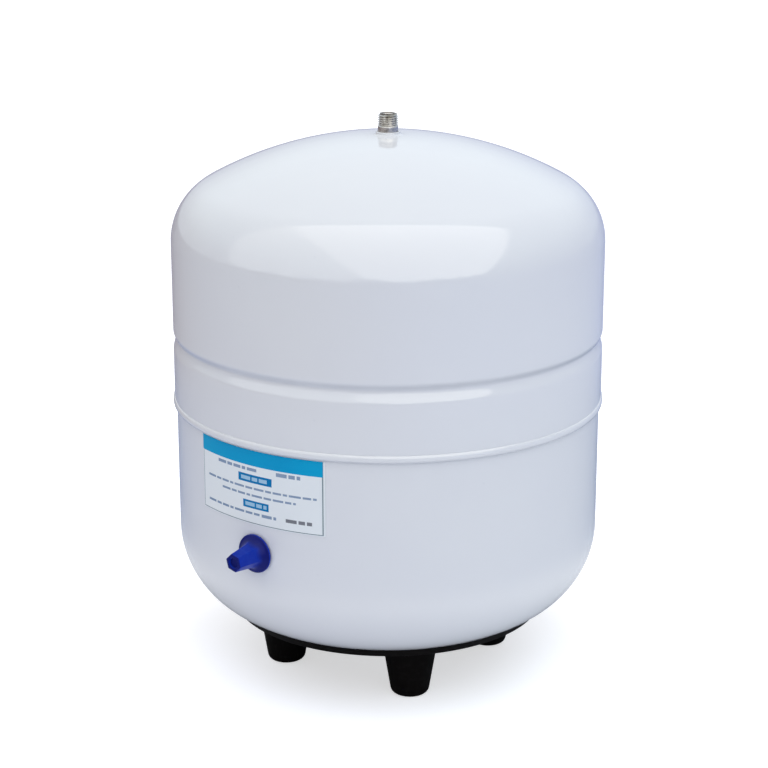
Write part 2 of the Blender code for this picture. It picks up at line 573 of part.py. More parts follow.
def build_core(brass_finish, rubber_finish, steel_finish, valve_axis, pin_axis):
    head_high = STEM_LENGTH - CORE_SETBACK
    head_low = head_high - CORE_HEAD_LENGTH
    barrel_low = head_low - CORE_BARREL_LENGTH
    hole = PIN_RADIUS + PIN_HOLE_CLEARANCE
    chamber_low = barrel_low + CORE_END_WALL
    chamber_high = head_high - CORE_END_WALL
    body = [(hole, barrel_low), (CORE_BARREL_RADIUS, barrel_low), (CORE_BARREL_RADIUS, head_low),
            (CORE_HEAD_RADIUS, head_low), (CORE_HEAD_RADIUS, head_high), (hole, head_high),
            (hole, chamber_high), (CORE_CHAMBER_RADIUS, chamber_high),
            (CORE_CHAMBER_RADIUS, chamber_low), (hole, chamber_low)]
    turned("core_body", body, brass_finish, valve_axis, 16)
    gasket_high = head_low - FINE_SEAT
    gasket_outer = STEM_BORE_RADIUS - FINE_SEAT
    gasket_inner = CORE_BARREL_RADIUS + FINE_SEAT
    gasket_low = gasket_high - GASKET_LENGTH
    gasket = [(gasket_inner, gasket_low), (gasket_outer - GASKET_TAPER, gasket_low),
              (gasket_outer, gasket_high), (gasket_inner, gasket_high)]
    turned("core_gasket", gasket, rubber_finish, valve_axis, 16)

    # The pin's collar presses on the spring, and the seal closes the barrel's end
    collar_high = chamber_high - FINE_SEAT
    collar_low = collar_high - PIN_COLLAR_THICK
    seal_high = barrel_low - FINE_SEAT
    seal_low = seal_high - CORE_SEAL_THICK
    seal_bore = PIN_RADIUS + FINE_SEAT
    head_radius = seal_bore + PIN_HEAD_STEP
    head_top = seal_low - FINE_SEAT
    pin_top = STEM_LENGTH - FINE_SEAT
    pin = [(0.0, head_top - PIN_HEAD_THICK), (head_radius, head_top - PIN_HEAD_THICK),
           (head_radius, head_top), (PIN_RADIUS, head_top), (PIN_RADIUS, collar_low),
           (PIN_COLLAR_RADIUS, collar_low), (PIN_COLLAR_RADIUS, collar_high), (PIN_RADIUS, collar_high),
           (PIN_RADIUS, pin_top), (0.0, pin_top)]
    turned("core_pin", pin, steel_finish, pin_axis, 12)
    turned("core_seal", ring(seal_bore, CORE_SEAL_RADIUS, seal_low, seal_high), rubber_finish, pin_axis, 16)
    build_spring(steel_finish, valve_axis, chamber_low + FINE_SEAT, collar_low - FINE_SEAT)


def build_spring(finish, parent, low, high):
    # A coil of round wire between the chamber's floor and the pin's collar
    coil_radius = (PIN_RADIUS + CORE_CHAMBER_RADIUS) / 2.0
    steps_a_turn = 12
    steps = int(SPRING_TURNS * steps_a_turn)
    rise = high - low - 2.0 * SPRING_WIRE_RADIUS
    sides = 6
    points = []
    for i in range(steps + 1):
        angle = 2.0 * math.pi * i / steps_a_turn
        z = low + SPRING_WIRE_RADIUS + rise * i / steps
        for k in range(sides):
            turn = 2.0 * math.pi * k / sides
            r = coil_radius + SPRING_WIRE_RADIUS * math.cos(turn)
            lift = SPRING_WIRE_RADIUS * math.sin(turn)
            points.append((r * math.cos(angle), r * math.sin(angle), z + lift))
    faces = []
    for start in range(0, steps * sides, sides):
        for k in range(sides):
            after = (k + 1) % sides
            faces.append((start + k, start + after, start + sides + after, start + sides + k))
    faces += [tuple(range(sides)), tuple(range(steps * sides, (steps + 1) * sides))]
    mesh = bpy.data.meshes.new("core_spring")
    mesh.from_pydata(points, [], faces)
    work = bmesh.new()
    work.from_mesh(mesh)
    bmesh.ops.recalc_face_normals(work, faces=work.faces)
    work.to_mesh(mesh)
    work.free()
    mesh.shade_smooth()
    return add_object("core_spring", mesh, finish, parent)


def build_cap(finish, rubber_finish, cap_axis):
    # A bell flange that runs into a tapered hexagon, bored for the stem from the shell's side
    low = CAP_WALL_GAP
    stub_low = low + CAP_BELL_LENGTH
    seal_low = STEM_LENGTH + FINE_SEAT
    bore_high = seal_low + 2.0 * CAP_SEAL_SECTION + FINE_SEAT
    bore = STEM_THREAD_RADIUS + CAP_THREAD_CLEARANCE
    skirt = CAP_FLANGE_RADIUS - CAP_STUB_RADIUS
    cavity = NUT_FLATS / 2.0 / math.cos(math.pi / 6.0) + 2.0 * SEAT
    cavity_high = SEAT + WASHER_THICK + NUT_HEIGHT + 2.0 * SEAT
    flange_high = low + CAP_FLANGE_EDGE
    bell = stub_low - flange_high
    outer = [(CAP_FLANGE_RADIUS - CAP_EDGE_ROUND, low), (CAP_FLANGE_RADIUS, low + 2.0 * CAP_EDGE_ROUND),
             (CAP_FLANGE_RADIUS - CAP_EDGE_ROUND, flange_high)]
    outer += [(CAP_STUB_RADIUS + width * skirt, flange_high + height * bell, hexagon)
              for height, width, hexagon in CAP_WAIST]
    outer += [(CAP_STUB_RADIUS, stub_low + CAP_STUB_STEP, CAP_STUB_HEXAGON),
              (CAP_END_RADIUS + CAP_EDGE_ROUND, CAP_END - 2.0 * CAP_EDGE_ROUND, 1.0),
              (CAP_END_RADIUS, CAP_END, 1.0)]
    recess_floor = CAP_END - CAP_END_RECESS_DEPTH
    inner = [(CAP_END_RECESS_RADIUS, CAP_END), (CAP_END_RECESS_RADIUS, recess_floor),
             (0.0, recess_floor), (0.0, bore_high), (bore, bore_high), (bore, cavity_high + 2.0 * SEAT),
             (cavity, cavity_high), (cavity, flange_high - 2.0 * SEAT), (WASHER_RADIUS + 2.0 * SEAT, low)]
    turned("valve_cap", outer + inner, finish, cap_axis, SMALL_SIDES, CAP_HEX_TURN)
    seal_middle = (STEM_BORE_RADIUS + STEM_THREAD_RADIUS) / 2.0
    seal = torus(seal_middle, CAP_SEAL_SECTION, seal_low + CAP_SEAL_SECTION, 6)
    turned("cap_seal", seal, rubber_finish, cap_axis, 16)


def main():
    clear_scene()
    white_paint = material("white_paint", (0.86, 0.88, 0.93), 0.22)
    stainless = material("stainless_steel", (0.62, 0.61, 0.60), 0.28, 1.0)
    zinc = material("zinc_plate", (0.66, 0.66, 0.68), 0.38, 1.0)
    brass = material("brass", (0.78, 0.60, 0.30), 0.32, 1.0)
    black_plastic = material("black_plastic", (0.012, 0.012, 0.013), 0.5)
    blue_plastic = material("blue_plastic", (0.02, 0.05, 0.42), 0.38)
    liner_plastic = material("liner_plastic", (0.85, 0.86, 0.84), 0.45)
    butyl = material("butyl_rubber", (0.03, 0.03, 0.03), 0.7)
    seal_rubber = material("seal_rubber", (0.02, 0.02, 0.02), 0.6)
    film = material("label_film", (0.85, 0.87, 0.88), 0.35)

    tank_axis = axis_empty("tank_axis", (0.0, AXIS_Y, 0.0))
    front = (0.0, -LOWER_RADIUS, VALVE_Z)
    valve_axis = axis_empty("valve_axis", front, math.radians(90.0), tank_axis)
    cap_axis = axis_empty("cap_axis", (0.0, 0.0, 0.0), 0.0, valve_axis)
    pin_axis = axis_empty("pin_axis", (0.0, 0.0, 0.0), 0.0, valve_axis)

    build_upper_shell(white_paint, tank_axis)
    build_lower_shell(white_paint, tank_axis, valve_axis)
    nut_low = build_port(stainless, seal_rubber, liner_plastic, tank_axis)
    build_diaphragm(butyl, tank_axis, nut_low)
    build_clench_ring(zinc, tank_axis)
    build_label(film, tank_axis)
    build_stand(black_plastic, tank_axis)
    build_valve(brass, zinc, seal_rubber, valve_axis)
    build_core(brass, seal_rubber, stainless, valve_axis, pin_axis)
    build_cap(blue_plastic, seal_rubber, cap_axis)


main()
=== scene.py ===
# Reverse osmosis pressure tank, dressed for a product picture: fine shells, print, threads and paint
import math

import bmesh
import bpy
from mathutils import Matrix, Vector


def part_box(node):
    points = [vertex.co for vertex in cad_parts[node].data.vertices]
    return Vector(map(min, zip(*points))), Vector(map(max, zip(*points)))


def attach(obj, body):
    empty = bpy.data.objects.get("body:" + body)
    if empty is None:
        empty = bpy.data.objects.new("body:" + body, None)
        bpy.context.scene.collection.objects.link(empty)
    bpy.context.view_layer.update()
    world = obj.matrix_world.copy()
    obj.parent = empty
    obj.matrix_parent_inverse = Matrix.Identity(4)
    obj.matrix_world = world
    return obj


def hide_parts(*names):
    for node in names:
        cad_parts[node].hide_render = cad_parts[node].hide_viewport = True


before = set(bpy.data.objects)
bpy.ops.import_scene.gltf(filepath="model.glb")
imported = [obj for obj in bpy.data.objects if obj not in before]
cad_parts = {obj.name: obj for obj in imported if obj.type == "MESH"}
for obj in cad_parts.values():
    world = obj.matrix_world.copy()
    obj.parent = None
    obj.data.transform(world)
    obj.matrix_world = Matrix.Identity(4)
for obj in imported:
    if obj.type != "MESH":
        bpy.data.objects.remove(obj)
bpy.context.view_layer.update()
print("frame loaded:", len(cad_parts), "nodes")

mm = 0.001


# Outlines are lists of (radius, height, share of hexagon) round an upright axis

def arcPoints(centreR, centreZ, reach, startDegrees, endDegrees, steps):
    turns = [math.radians(startDegrees + (endDegrees - startDegrees) * i / steps) for i in range(steps + 1)]
    return [(centreR + reach * math.cos(t), centreZ + reach * math.sin(t), 0.0) for t in turns]


def curveAt(start, bend, end, t):
    return start * (1.0 - t) ** 2 + bend * 2.0 * t * (1.0 - t) + end * t ** 2


def softCorners(corners, closed=True, steps=4):
    # Corners are (radius, height, rounding) or (radius, height, rounding, share of hexagon)
    points = []
    for i, corner in enumerate(corners):
        here = Vector(corner[:2])
        hexagon = corner[3] if len(corner) > 3 else 0.0
        if corner[2] <= 0.0 or (not closed and i in (0, len(corners) - 1)):
            points.append((here.x, here.y, hexagon))
            continue
        before = Vector(corners[i - 1][:2]) - here
        after = Vector(corners[(i + 1) % len(corners)][:2]) - here
        halfAngle = before.angle(after) / 2.0
        reach = min(corner[2] / math.tan(halfAngle), 0.48 * before.length, 0.48 * after.length)
        start = here + before.normalized() * reach
        end = here + after.normalized() * reach
        points += [(*curveAt(start, here, end, k / steps), hexagon) for k in range(steps + 1)]
    return points


def between(first, last, steps):
    # Even steps from one number to another, without the first
    return [first + (last - first) * i / steps for i in range(1, steps + 1)]


def slopeRows(first, last, steps):
    # Even points from one outline point to another, without the first
    return list(zip(*(between(a, b, steps) for a, b in zip(first, last))))


# Geometry nodes: one tree turns every round piece, and cuts its thread, hexagon and press ripple

def addNode(tree, kind, column, row, **settings):
    node = tree.nodes.new(kind)
    node.location = (column * 180, row * -160)
    for key, value in settings.items():
        setattr(node, key, value)
    return node


def plug(tree, socket, value):
    # A link where the value is a socket, and a plain number or vector otherwise
    if isinstance(value, bpy.types.NodeSocket):
        tree.links.new(value, socket)
    else:
        socket.default_value = value


def wired(tree, kind, column, row, inputs, **settings):
    # A new node with its inputs plugged; what comes back is its outputs
    node = addNode(tree, kind, column, row, **settings)
    for key, value in inputs.items():
        plug(tree, node.inputs[key], value)
    return node.outputs


def mathNode(tree, operation, column, row, *values, **settings):
    settings["operation"] = operation
    return wired(tree, "ShaderNodeMath", column, row, dict(enumerate(values)), **settings)[0]


def noiseAt(tree, column, row, vector, scale, detail=2.0, roughness=0.5):
    return wired(tree, "ShaderNodeTexNoise", column, row, {
        "Vector": vector, "Scale": scale, "Detail": detail, "Roughness": roughness})[0]


turnedInputs = {
    "Sides": ("NodeSocketInt", 64),
    "Sweep Radius": ("NodeSocketFloat", 0.1),
    "Hexagon Turn": ("NodeSocketFloat", 0.0),
    "Hexagon Limit": ("NodeSocketFloat", 1.12),
    "Thread Depth": ("NodeSocketFloat", 0.0),
    "Thread Pitch": ("NodeSocketFloat", 0.001),
    "Thread Low": ("NodeSocketFloat", 0.0),
    "Thread High": ("NodeSocketFloat", 0.0),
    "Thread Core": ("NodeSocketFloat", 0.0),
    "Ripple Depth": ("NodeSocketFloat", 0.0),
    "Ripple Scale": ("NodeSocketFloat", 10.0),
    "Surface": ("NodeSocketMaterial", None),
}
flankShape = (2.6, -0.15)  # how steep a thread's flanks are, and how much of the crest stays flat
cornerBlend = 0.03
smallestRadius = 0.2 * mm


def makeTurnedTree():
    tree = bpy.data.node_groups.new("turnedForm", "GeometryNodeTree")
    tree.interface.new_socket("Geometry", in_out="OUTPUT", socket_type="NodeSocketGeometry")
    tree.interface.new_socket("Geometry", in_out="INPUT", socket_type="NodeSocketGeometry")
    for name, (kind, value) in turnedInputs.items():
        socket = tree.interface.new_socket(name, in_out="INPUT", socket_type=kind)
        if value is not None:
            socket.default_value = value
    given = addNode(tree, "NodeGroupInput", 0, 0).outputs
    outline = wired(tree, "GeometryNodeMeshToCurve", 1, 0, {"Mesh": given["Geometry"]})["Curve"]
    inward = mathNode(tree, "MULTIPLY", 1, 1, given["Sweep Radius"], -1.0)
    shift = wired(tree, "ShaderNodeCombineXYZ", 2, 1, {"X": inward})[0]
    laid = wired(tree, "GeometryNodeTransform", 2, 0, {
        "Geometry": outline, "Translation": shift, "Rotation": (math.radians(90.0), 0.0, 0.0)})["Geometry"]
    circle = wired(tree, "GeometryNodeCurvePrimitiveCircle", 2, 2, {
        "Resolution": given["Sides"], "Radius": given["Sweep Radius"]})["Curve"]
    shape = wired(tree, "GeometryNodeCurveToMesh", 3, 0, {"Curve": circle, "Profile Curve": laid})["Mesh"]

    place = addNode(tree, "GeometryNodeInputPosition", 0, 4).outputs[0]
    x, y, z = wired(tree, "ShaderNodeSeparateXYZ", 1, 4, {0: place})
    angle = mathNode(tree, "ARCTAN2", 2, 4, y, x)
    flat = mathNode(tree, "SQRT", 3, 5, mathNode(
        tree, "ADD", 2, 5, mathNode(tree, "MULTIPLY", 1, 5, x, x), mathNode(tree, "MULTIPLY", 1, 6, y, y)))

    share = wired(tree, "GeometryNodeInputNamedAttribute", 3, 3, {"Name": "hexShare"}, data_type="FLOAT")[0]
    fromCorner = mathNode(tree, "SUBTRACT", 3, 4, angle, given["Hexagon Turn"])
    sector = mathNode(tree, "FLOORED_MODULO", 4, 4, fromCorner, math.pi / 3.0)
    middle = mathNode(tree, "SUBTRACT", 5, 4, sector, math.pi / 6.0)
    reach = mathNode(tree, "DIVIDE", 7, 4, 1.0, mathNode(tree, "COSINE", 6, 4, middle))
    eased = mathNode(tree, "SMOOTH_MIN", 8, 4, reach, given["Hexagon Limit"], cornerBlend)
    extra = mathNode(tree, "MULTIPLY", 9, 4, mathNode(tree, "SUBTRACT", 8, 5, eased, 1.0), share)

    pitch = given["Thread Pitch"]
    turn = mathNode(tree, "DIVIDE", 3, 7, angle, 2.0 * math.pi)
    cycle = mathNode(tree, "SUBTRACT", 4, 7, mathNode(tree, "DIVIDE", 3, 8, z, pitch), turn)
    wave = mathNode(tree, "PINGPONG", 5, 7, cycle, 0.5)
    groove = mathNode(tree, "MULTIPLY_ADD", 6, 7, wave, *flankShape, use_clamp=True)
    fromLow = mathNode(tree, "SUBTRACT", 5, 9, z, given["Thread Low"])
    toHigh = mathNode(tree, "SUBTRACT", 5, 10, given["Thread High"], z)
    run = mathNode(tree, "DIVIDE", 6, 9, fromLow, pitch, use_clamp=True)
    runOut = mathNode(tree, "DIVIDE", 6, 10, toHigh, pitch, use_clamp=True)
    outside = mathNode(tree, "GREATER_THAN", 6, 11, flat, given["Thread Core"])
    faded = mathNode(tree, "MULTIPLY", 8, 9, mathNode(tree, "MULTIPLY", 7, 9, run, runOut), outside)
    shallow = mathNode(tree, "MULTIPLY", 8, 8, groove, faded)
    cut = mathNode(tree, "MULTIPLY", 9, 8, shallow, given["Thread Depth"])

    ripple = noiseAt(tree, 4, 12, place, given["Ripple Scale"], 1.0)
    dent = mathNode(tree, "MULTIPLY", 6, 12, ripple, given["Ripple Depth"])
    lost = mathNode(tree, "DIVIDE", 11, 8, mathNode(tree, "ADD", 10, 8, cut, dent),
                    mathNode(tree, "MAXIMUM", 10, 9, flat, smallestRadius))
    change = mathNode(tree, "SUBTRACT", 11, 5, extra, lost)
    level = wired(tree, "ShaderNodeCombineXYZ", 11, 4, {"X": x, "Y": y})[0]
    offset = wired(tree, "ShaderNodeVectorMath", 12, 4, {0: level, "Scale": change}, operation="SCALE")[0]
    steps = (("SetPosition", {"Offset": offset}), ("MergeByDistance", {"Distance": 1e-6}),
             ("RealizeInstances", {}), ("SetMaterial", {"Material": given["Surface"]}))
    for i, (step, inputs) in enumerate(steps):
        shape = wired(tree, "GeometryNode" + step, 13 + i, 0, {"Geometry": shape, **inputs})["Geometry"]
    wired(tree, "NodeGroupOutput", 17, 0, {"Geometry": shape})
    return tree


turnedTree = makeTurnedTree()
turnedSockets = {item.name: item.identifier for item in turnedTree.interface.items_tree
                 if item.in_out == "INPUT"}


def newObject(name, data, collection=None):
    made = bpy.data.objects.new(name, data)
    (collection or bpy.context.collection).objects.link(made)
    return made


def finishedMesh(source, *tools):
    # The source's mesh with its modifiers in it; the source and its tools are then removed
    bpy.context.view_layer.update()
    done = bpy.data.meshes.new_from_object(source.evaluated_get(bpy.context.evaluated_depsgraph_get()))
    for part in (source, *tools):
        bpy.data.objects.remove(part)
    return done


def turnedMesh(name, outline, finish, closed=True, **inputs):
    # The outline is a wire that the tree turns; what comes back is a plain mesh
    wire = bpy.data.meshes.new(name + "Outline")
    edges = [(i, i + 1) for i in range(len(outline) - 1)]
    if closed:
        edges.append((len(outline) - 1, 0))
    wire.from_pydata([(r, 0.0, z) for r, z, _ in outline], edges, [])
    shares = wire.attributes.new("hexShare", "FLOAT", "POINT")
    shares.data.foreach_set("value", [hexagon for _, _, hexagon in outline])
    source = newObject(name + "Outline", wire)
    modifier = source.modifiers.new("turnedForm", "NODES")
    modifier.node_group = turnedTree
    for key, value in inputs.items():
        modifier[turnedSockets[key.replace("_", " ")]] = value
    modifier[turnedSockets["Surface"]] = finish
    done = finishedMesh(source)
    if "hexShare" in done.attributes:
        done.attributes.remove(done.attributes["hexShare"])
    return done


def settle(mesh, place, sharpDegrees=32.0):
    # Merged, facing outwards, smooth where it is round, and moved to its place
    work = bmesh.new()
    work.from_mesh(mesh)
    bmesh.ops.remove_doubles(work, verts=work.verts, dist=1e-7)
    bmesh.ops.recalc_face_normals(work, faces=work.faces)
    bmesh.ops.transform(work, matrix=place, verts=work.verts)
    work.to_mesh(mesh)
    work.free()
    mesh.shade_smooth()
    mesh.set_sharp_from_angle(angle=math.radians(sharpDegrees))


def addPiece(name, mesh, body, slotName, *nodes):
    piece = newObject(name, mesh)
    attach(piece, body)
    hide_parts(*nodes)
    return piece


def addTurned(name, outline, finish, slotName, node, place, body="tank", sharpDegrees=32.0, **inputs):
    mesh = turnedMesh(name, outline, finish, **inputs)
    settle(mesh, place, sharpDegrees)
    return addPiece(name, mesh, body, slotName, node)


# Places that the frame gives

lowerLow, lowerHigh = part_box("lower_shell")
upperLow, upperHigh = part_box("upper_shell")
portLow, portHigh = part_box("water_connector")
standLow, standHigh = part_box("base_stand")
labelLow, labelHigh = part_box("label")
stemLow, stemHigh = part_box("valve_stem")
capLow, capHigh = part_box("valve_cap")
nutLow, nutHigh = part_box("valve_nut")
washerLow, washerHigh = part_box("valve_flat_washer")

axisY = (lowerLow.y + lowerHigh.y) / 2.0
lowerRadius = lowerHigh.x
rimBelowGroove = 9.3 * mm
grooveZ = lowerHigh.z + rimBelowGroove
valveZ = (stemLow.z + stemHigh.z) / 2.0
wallY = axisY - lowerRadius
onAxis = Matrix.Translation((0.0, axisY, 0.0))
onValve = Matrix.Translation((0.0, wallY, valveZ)) @ Matrix.Rotation(math.radians(90.0), 4, "X")


# Shader groups: each effect is built once and placed in the materials with their own values

def colourOf(*parts):
    # A colour as a picture program gives it, 0 to 255, turned to the shader's linear values
    shares = [part / 255.0 for part in parts]
    return tuple(share / 12.92 if share < 0.04 else ((share + 0.055) / 1.055) ** 2.4 for share in shares)


def newGroup(name, inputs, outputs):
    # The tree, what it is given, its results and the piece's own coordinates
    tree = bpy.data.node_groups.new(name, "ShaderNodeTree")
    for label, value in inputs.items():
        tree.interface.new_socket(label, in_out="INPUT", socket_type="NodeSocketFloat").default_value = value
    for label in outputs:
        tree.interface.new_socket(label, in_out="OUTPUT", socket_type="NodeSocketFloat")
    given = addNode(tree, "NodeGroupInput", 0, 0).outputs
    result = addNode(tree, "NodeGroupOutput", 12, 0).inputs
    return tree, given, result, addNode(tree, "ShaderNodeTexCoord", 0, 2).outputs["Object"]


def perMetre(tree, row, size, count=1.0):
    return mathNode(tree, "DIVIDE", 2, row, count, size)


def ramped(tree, column, row, value, low, high):
    return wired(tree, "ShaderNodeMapRange", column, row, {"Value": value, "From Min": low, "From Max": high},
                 interpolation_type="SMOOTHSTEP")[0]


def makeSprayedSkin():
    # Sprayed paint or rolled film: fine peel, a slow swell and faint clouds
    tree, given, result, place = newGroup(
        "sprayedSkin", {"Peel Size": 0.0012, "Peel Depth": 3e-6, "Swell Size": 0.05, "Swell Depth": 6e-5},
        ("Height", "Cloud"))
    fine = noiseAt(tree, 3, 1, place, perMetre(tree, 1, given["Peel Size"]), 1.5)
    slow = noiseAt(tree, 3, 2, place, perMetre(tree, 2, given["Swell Size"]), 1.0)
    peel = mathNode(tree, "MULTIPLY", 4, 1, fine, given["Peel Depth"])
    swell = mathNode(tree, "MULTIPLY", 4, 2, slow, given["Swell Depth"])
    plug(tree, result["Height"], mathNode(tree, "ADD", 5, 1, peel, swell))
    plug(tree, result["Cloud"], ramped(tree, 4, 3, noiseAt(tree, 3, 3, place, 9.0, 3.0), 0.3, 0.7))
    return tree


def makeHandlingMarks():
    # Faint rubbed patches, hairline scuffs and a few specks
    tree, given, result, place = newGroup(
        "handlingMarks", {"Patch Size": 0.03, "Speck Size": 0.004}, ("Rub", "Scuff", "Speck"))
    patch = noiseAt(tree, 3, 1, place, perMetre(tree, 1, given["Patch Size"]), 3.0, 0.6)
    thin = wired(tree, "ShaderNodeMapping", 2, 2, {
        "Vector": place, "Rotation": (0.35, 0.2, 0.5), "Scale": (1.0, 1.0, 14.0)})[0]
    hair = noiseAt(tree, 3, 2, thin, perMetre(tree, 3, given["Patch Size"], 0.7), 4.0, 0.7)
    scale = perMetre(tree, 4, given["Speck Size"])
    cells = wired(tree, "ShaderNodeTexVoronoi", 3, 3, {"Vector": place, "Scale": scale})["Distance"]
    rare = mathNode(tree, "GREATER_THAN", 5, 4, noiseAt(tree, 4, 4, place, 60.0, 1.0), 0.62)
    dot = mathNode(tree, "LESS_THAN", 4, 3, cells, 0.07)
    plug(tree, result["Rub"], ramped(tree, 4, 1, patch, 0.42, 0.75))
    plug(tree, result["Scuff"], ramped(tree, 4, 2, hair, 0.58, 0.72))
    plug(tree, result["Speck"], mathNode(tree, "MULTIPLY", 6, 3, dot, rare))
    return tree


def makeTurnedLines():
    # Cutting lines round a turned piece; the tilt turns the lines from upright to level axes
    tree, given, result, place = newGroup(
        "turnedLines", {"Axis Tilt": 0.0, "Line Pitch": 0.00012, "Line Depth": 2e-6}, ("Height", "Streak"))
    tilted = wired(tree, "ShaderNodeVectorRotate", 1, 1, {"Vector": place, "Angle": given["Axis Tilt"]},
                   rotation_type="X_AXIS")[0]
    level = wired(tree, "ShaderNodeSeparateXYZ", 2, 1, {0: tilted})[2]
    count = mathNode(tree, "DIVIDE", 3, 1, level, given["Line Pitch"])
    lines = noiseAt(tree, 5, 1, wired(tree, "ShaderNodeCombineXYZ", 4, 1, {"Z": count})[0], 1.0)
    plug(tree, result["Height"], mathNode(tree, "MULTIPLY", 6, 1, lines, given["Line Depth"]))
    plug(tree, result["Streak"], ramped(tree, 6, 2, lines, 0.35, 0.65))
    return tree


def makeMouldedGrain():
    # The fine even grain that a mould leaves, with a few paler flecks
    tree, given, result, place = newGroup(
        "mouldedGrain", {"Grain Size": 0.0006, "Grain Depth": 8e-6}, ("Height", "Fleck"))
    scale = perMetre(tree, 1, given["Grain Size"])
    grain = noiseAt(tree, 3, 1, place, scale, 3.0, 0.6)
    pits = wired(tree, "ShaderNodeTexVoronoi", 3, 2, {"Vector": place, "Scale": scale},
                 feature="SMOOTH_F1")["Distance"]
    both = mathNode(tree, "ADD", 4, 1, grain, mathNode(tree, "MULTIPLY", 4, 2, pits, 0.6))
    plug(tree, result["Height"], mathNode(tree, "MULTIPLY", 5, 1, both, given["Grain Depth"]))
    plug(tree, result["Fleck"], ramped(tree, 5, 2, noiseAt(tree, 4, 3, place, 240.0), 0.5, 0.75))
    return tree


def makePaintedCreaseShade():
    # Painted shade: a darker band at one height, uneven along its length, where a level crease would be in
    # shade
    tree, given, result, place = newGroup("paintedCreaseShade", {"Level": 0.2, "Half Height": 0.003}, ("Shade",))
    level = wired(tree, "ShaderNodeSeparateXYZ", 1, 1, {0: place})[2]
    off = mathNode(tree, "ABSOLUTE", 3, 1, mathNode(tree, "SUBTRACT", 2, 1, level, given["Level"]))
    near = ramped(tree, 5, 1, mathNode(tree, "DIVIDE", 4, 1, off, given["Half Height"]), 1.0, 0.0)
    uneven = mathNode(tree, "MULTIPLY_ADD", 5, 3, noiseAt(tree, 4, 3, place, 40.0), 0.5, 0.75)
    plug(tree, result["Shade"], mathNode(tree, "MULTIPLY", 6, 1, near, uneven))
    return tree


skinGroup = makeSprayedSkin()
marksGroup = makeHandlingMarks()
linesGroup = makeTurnedLines()
grainGroup = makeMouldedGrain()
creaseShadeGroup = makePaintedCreaseShade()


# Materials

def newMaterial(name, roughness, metallic=0.0, gloss=0.5):
    made = bpy.data.materials.new(name)
    made.use_nodes = True
    shader = made.node_tree.nodes["Principled BSDF"].inputs
    for key, value in (("Roughness", roughness), ("Metallic", metallic), ("Specular IOR Level", gloss)):
        shader[key].default_value = value
    return made, made.node_tree, shader


def placeGroup(tree, group, row, **values):
    inputs = {key.replace("_", " "): value for key, value in values.items()}
    return wired(tree, "ShaderNodeGroup", -5, row, inputs, node_tree=group)


def toneBetween(tree, column, row, mask, first, second):
    inputs = {0: mask}
    for place, tone in ((6, first), (7, second)):
        inputs[place] = tone if isinstance(tone, bpy.types.NodeSocket) else (*tone, 1.0)
    return wired(tree, "ShaderNodeMix", column, row, inputs, data_type="RGBA")[2]


def scaled(tree, row, mask, factor):
    return mathNode(tree, "MULTIPLY", -3, row, mask, factor)


def dressed(made, tree, shader, look, tone, mask, height):
    # Colour, roughness that follows a mask, and a bump whose heights are in metres
    rough = {"Value": mask, "To Min": look["low"], "To Max": look["high"]}
    bump = {"Strength": 1.0, "Distance": 1.0, "Height": height}
    plug(tree, shader["Base Color"], tone)
    plug(tree, shader["Roughness"], wired(tree, "ShaderNodeMapRange", -2, 3, rough)[0])
    plug(tree, shader["Normal"], wired(tree, "ShaderNodeBump", -2, 5, bump)[0])
    return made


paintLook = {
    "colour": colourOf(229, 230, 232),
    "cloud": colourOf(227, 228, 231),
    "rubbed": colourOf(206, 208, 214),
    # The crease colour is painted shade, laid in bands at the groove's crease and under the bead
    "creaseShadeTone": colourOf(196, 198, 204),
    "shadedCreases": ((grooveZ + 1.9 * mm, 3.2 * mm), (upperLow.z + 0.3 * mm, 1.4 * mm)),
    "gloss": 0.9,
    "specks": 0.12,
    "peelDepth": 1.2e-6,
    "swellDepth": 1.6e-5,
    "patchSize": 0.045,
    "speckSize": 0.012,
    "low": 0.08,
    "high": 0.13,
}


def makePaint():
    look = paintLook
    made, tree, shader = newMaterial("whitePaint", look["low"], gloss=look["gloss"])
    skin = placeGroup(tree, skinGroup, 0, Peel_Depth=look["peelDepth"], Swell_Depth=look["swellDepth"])
    marks = placeGroup(tree, marksGroup, 2, Patch_Size=look["patchSize"], Speck_Size=look["speckSize"])
    base = toneBetween(tree, -2, 0, skin["Cloud"], look["colour"], look["cloud"])
    wornAndShaded = toneBetween(tree, -2, 1, scaled(tree, 1, marks["Speck"], look["specks"]), base, look["rubbed"])
    # Painted shade: the paint darkens in bands at the groove's crease and under the bead
    for row, (level, half) in enumerate(look["shadedCreases"]):
        creaseShade = placeGroup(tree, creaseShadeGroup, 5 + row, Level=level, Half_Height=half)
        wornAndShaded = toneBetween(tree, -1, 1 + row, creaseShade["Shade"], wornAndShaded, look["creaseShadeTone"])
    return dressed(made, tree, shader, look, wornAndShaded, marks["Rub"], skin["Height"])


steelLook = {"colour": colourOf(194, 191, 186), "tint": colourOf(142, 136, 126), "low": 0.14, "high": 0.32}
# Darker and brighter copies of the port's steel: painted shade on the connector's end face, painted highlight
# in its bore
endShadeLook = {"colour": colourOf(134, 126, 120), "tint": colourOf(92, 86, 80), "low": 0.3, "high": 0.5}
boreHighlightLook = {"colour": colourOf(236, 234, 232), "tint": colourOf(226, 222, 218), "low": 0.2, "high": 0.3}
brassLook = {"colour": colourOf(206, 168, 92), "tint": colourOf(168, 126, 62), "low": 0.24, "high": 0.4}
zincLook = {"colour": colourOf(188, 190, 194), "tint": colourOf(160, 164, 172), "low": 0.3, "high": 0.5}


def makeMetal(name, look, tilt):
    # Turned metal with cutting lines; the tint gathers in rubbed patches
    made, tree, shader = newMaterial(name, look["low"], 1.0)
    lines = placeGroup(tree, linesGroup, 0, Axis_Tilt=tilt, Line_Pitch=0.00012, Line_Depth=1.5e-6)
    marks = placeGroup(tree, marksGroup, 2, Patch_Size=0.006, Speck_Size=0.002)
    tone = toneBetween(tree, -2, 0, marks["Rub"], look["colour"], look["tint"])
    return dressed(made, tree, shader, look, tone, lines["Streak"], lines["Height"])


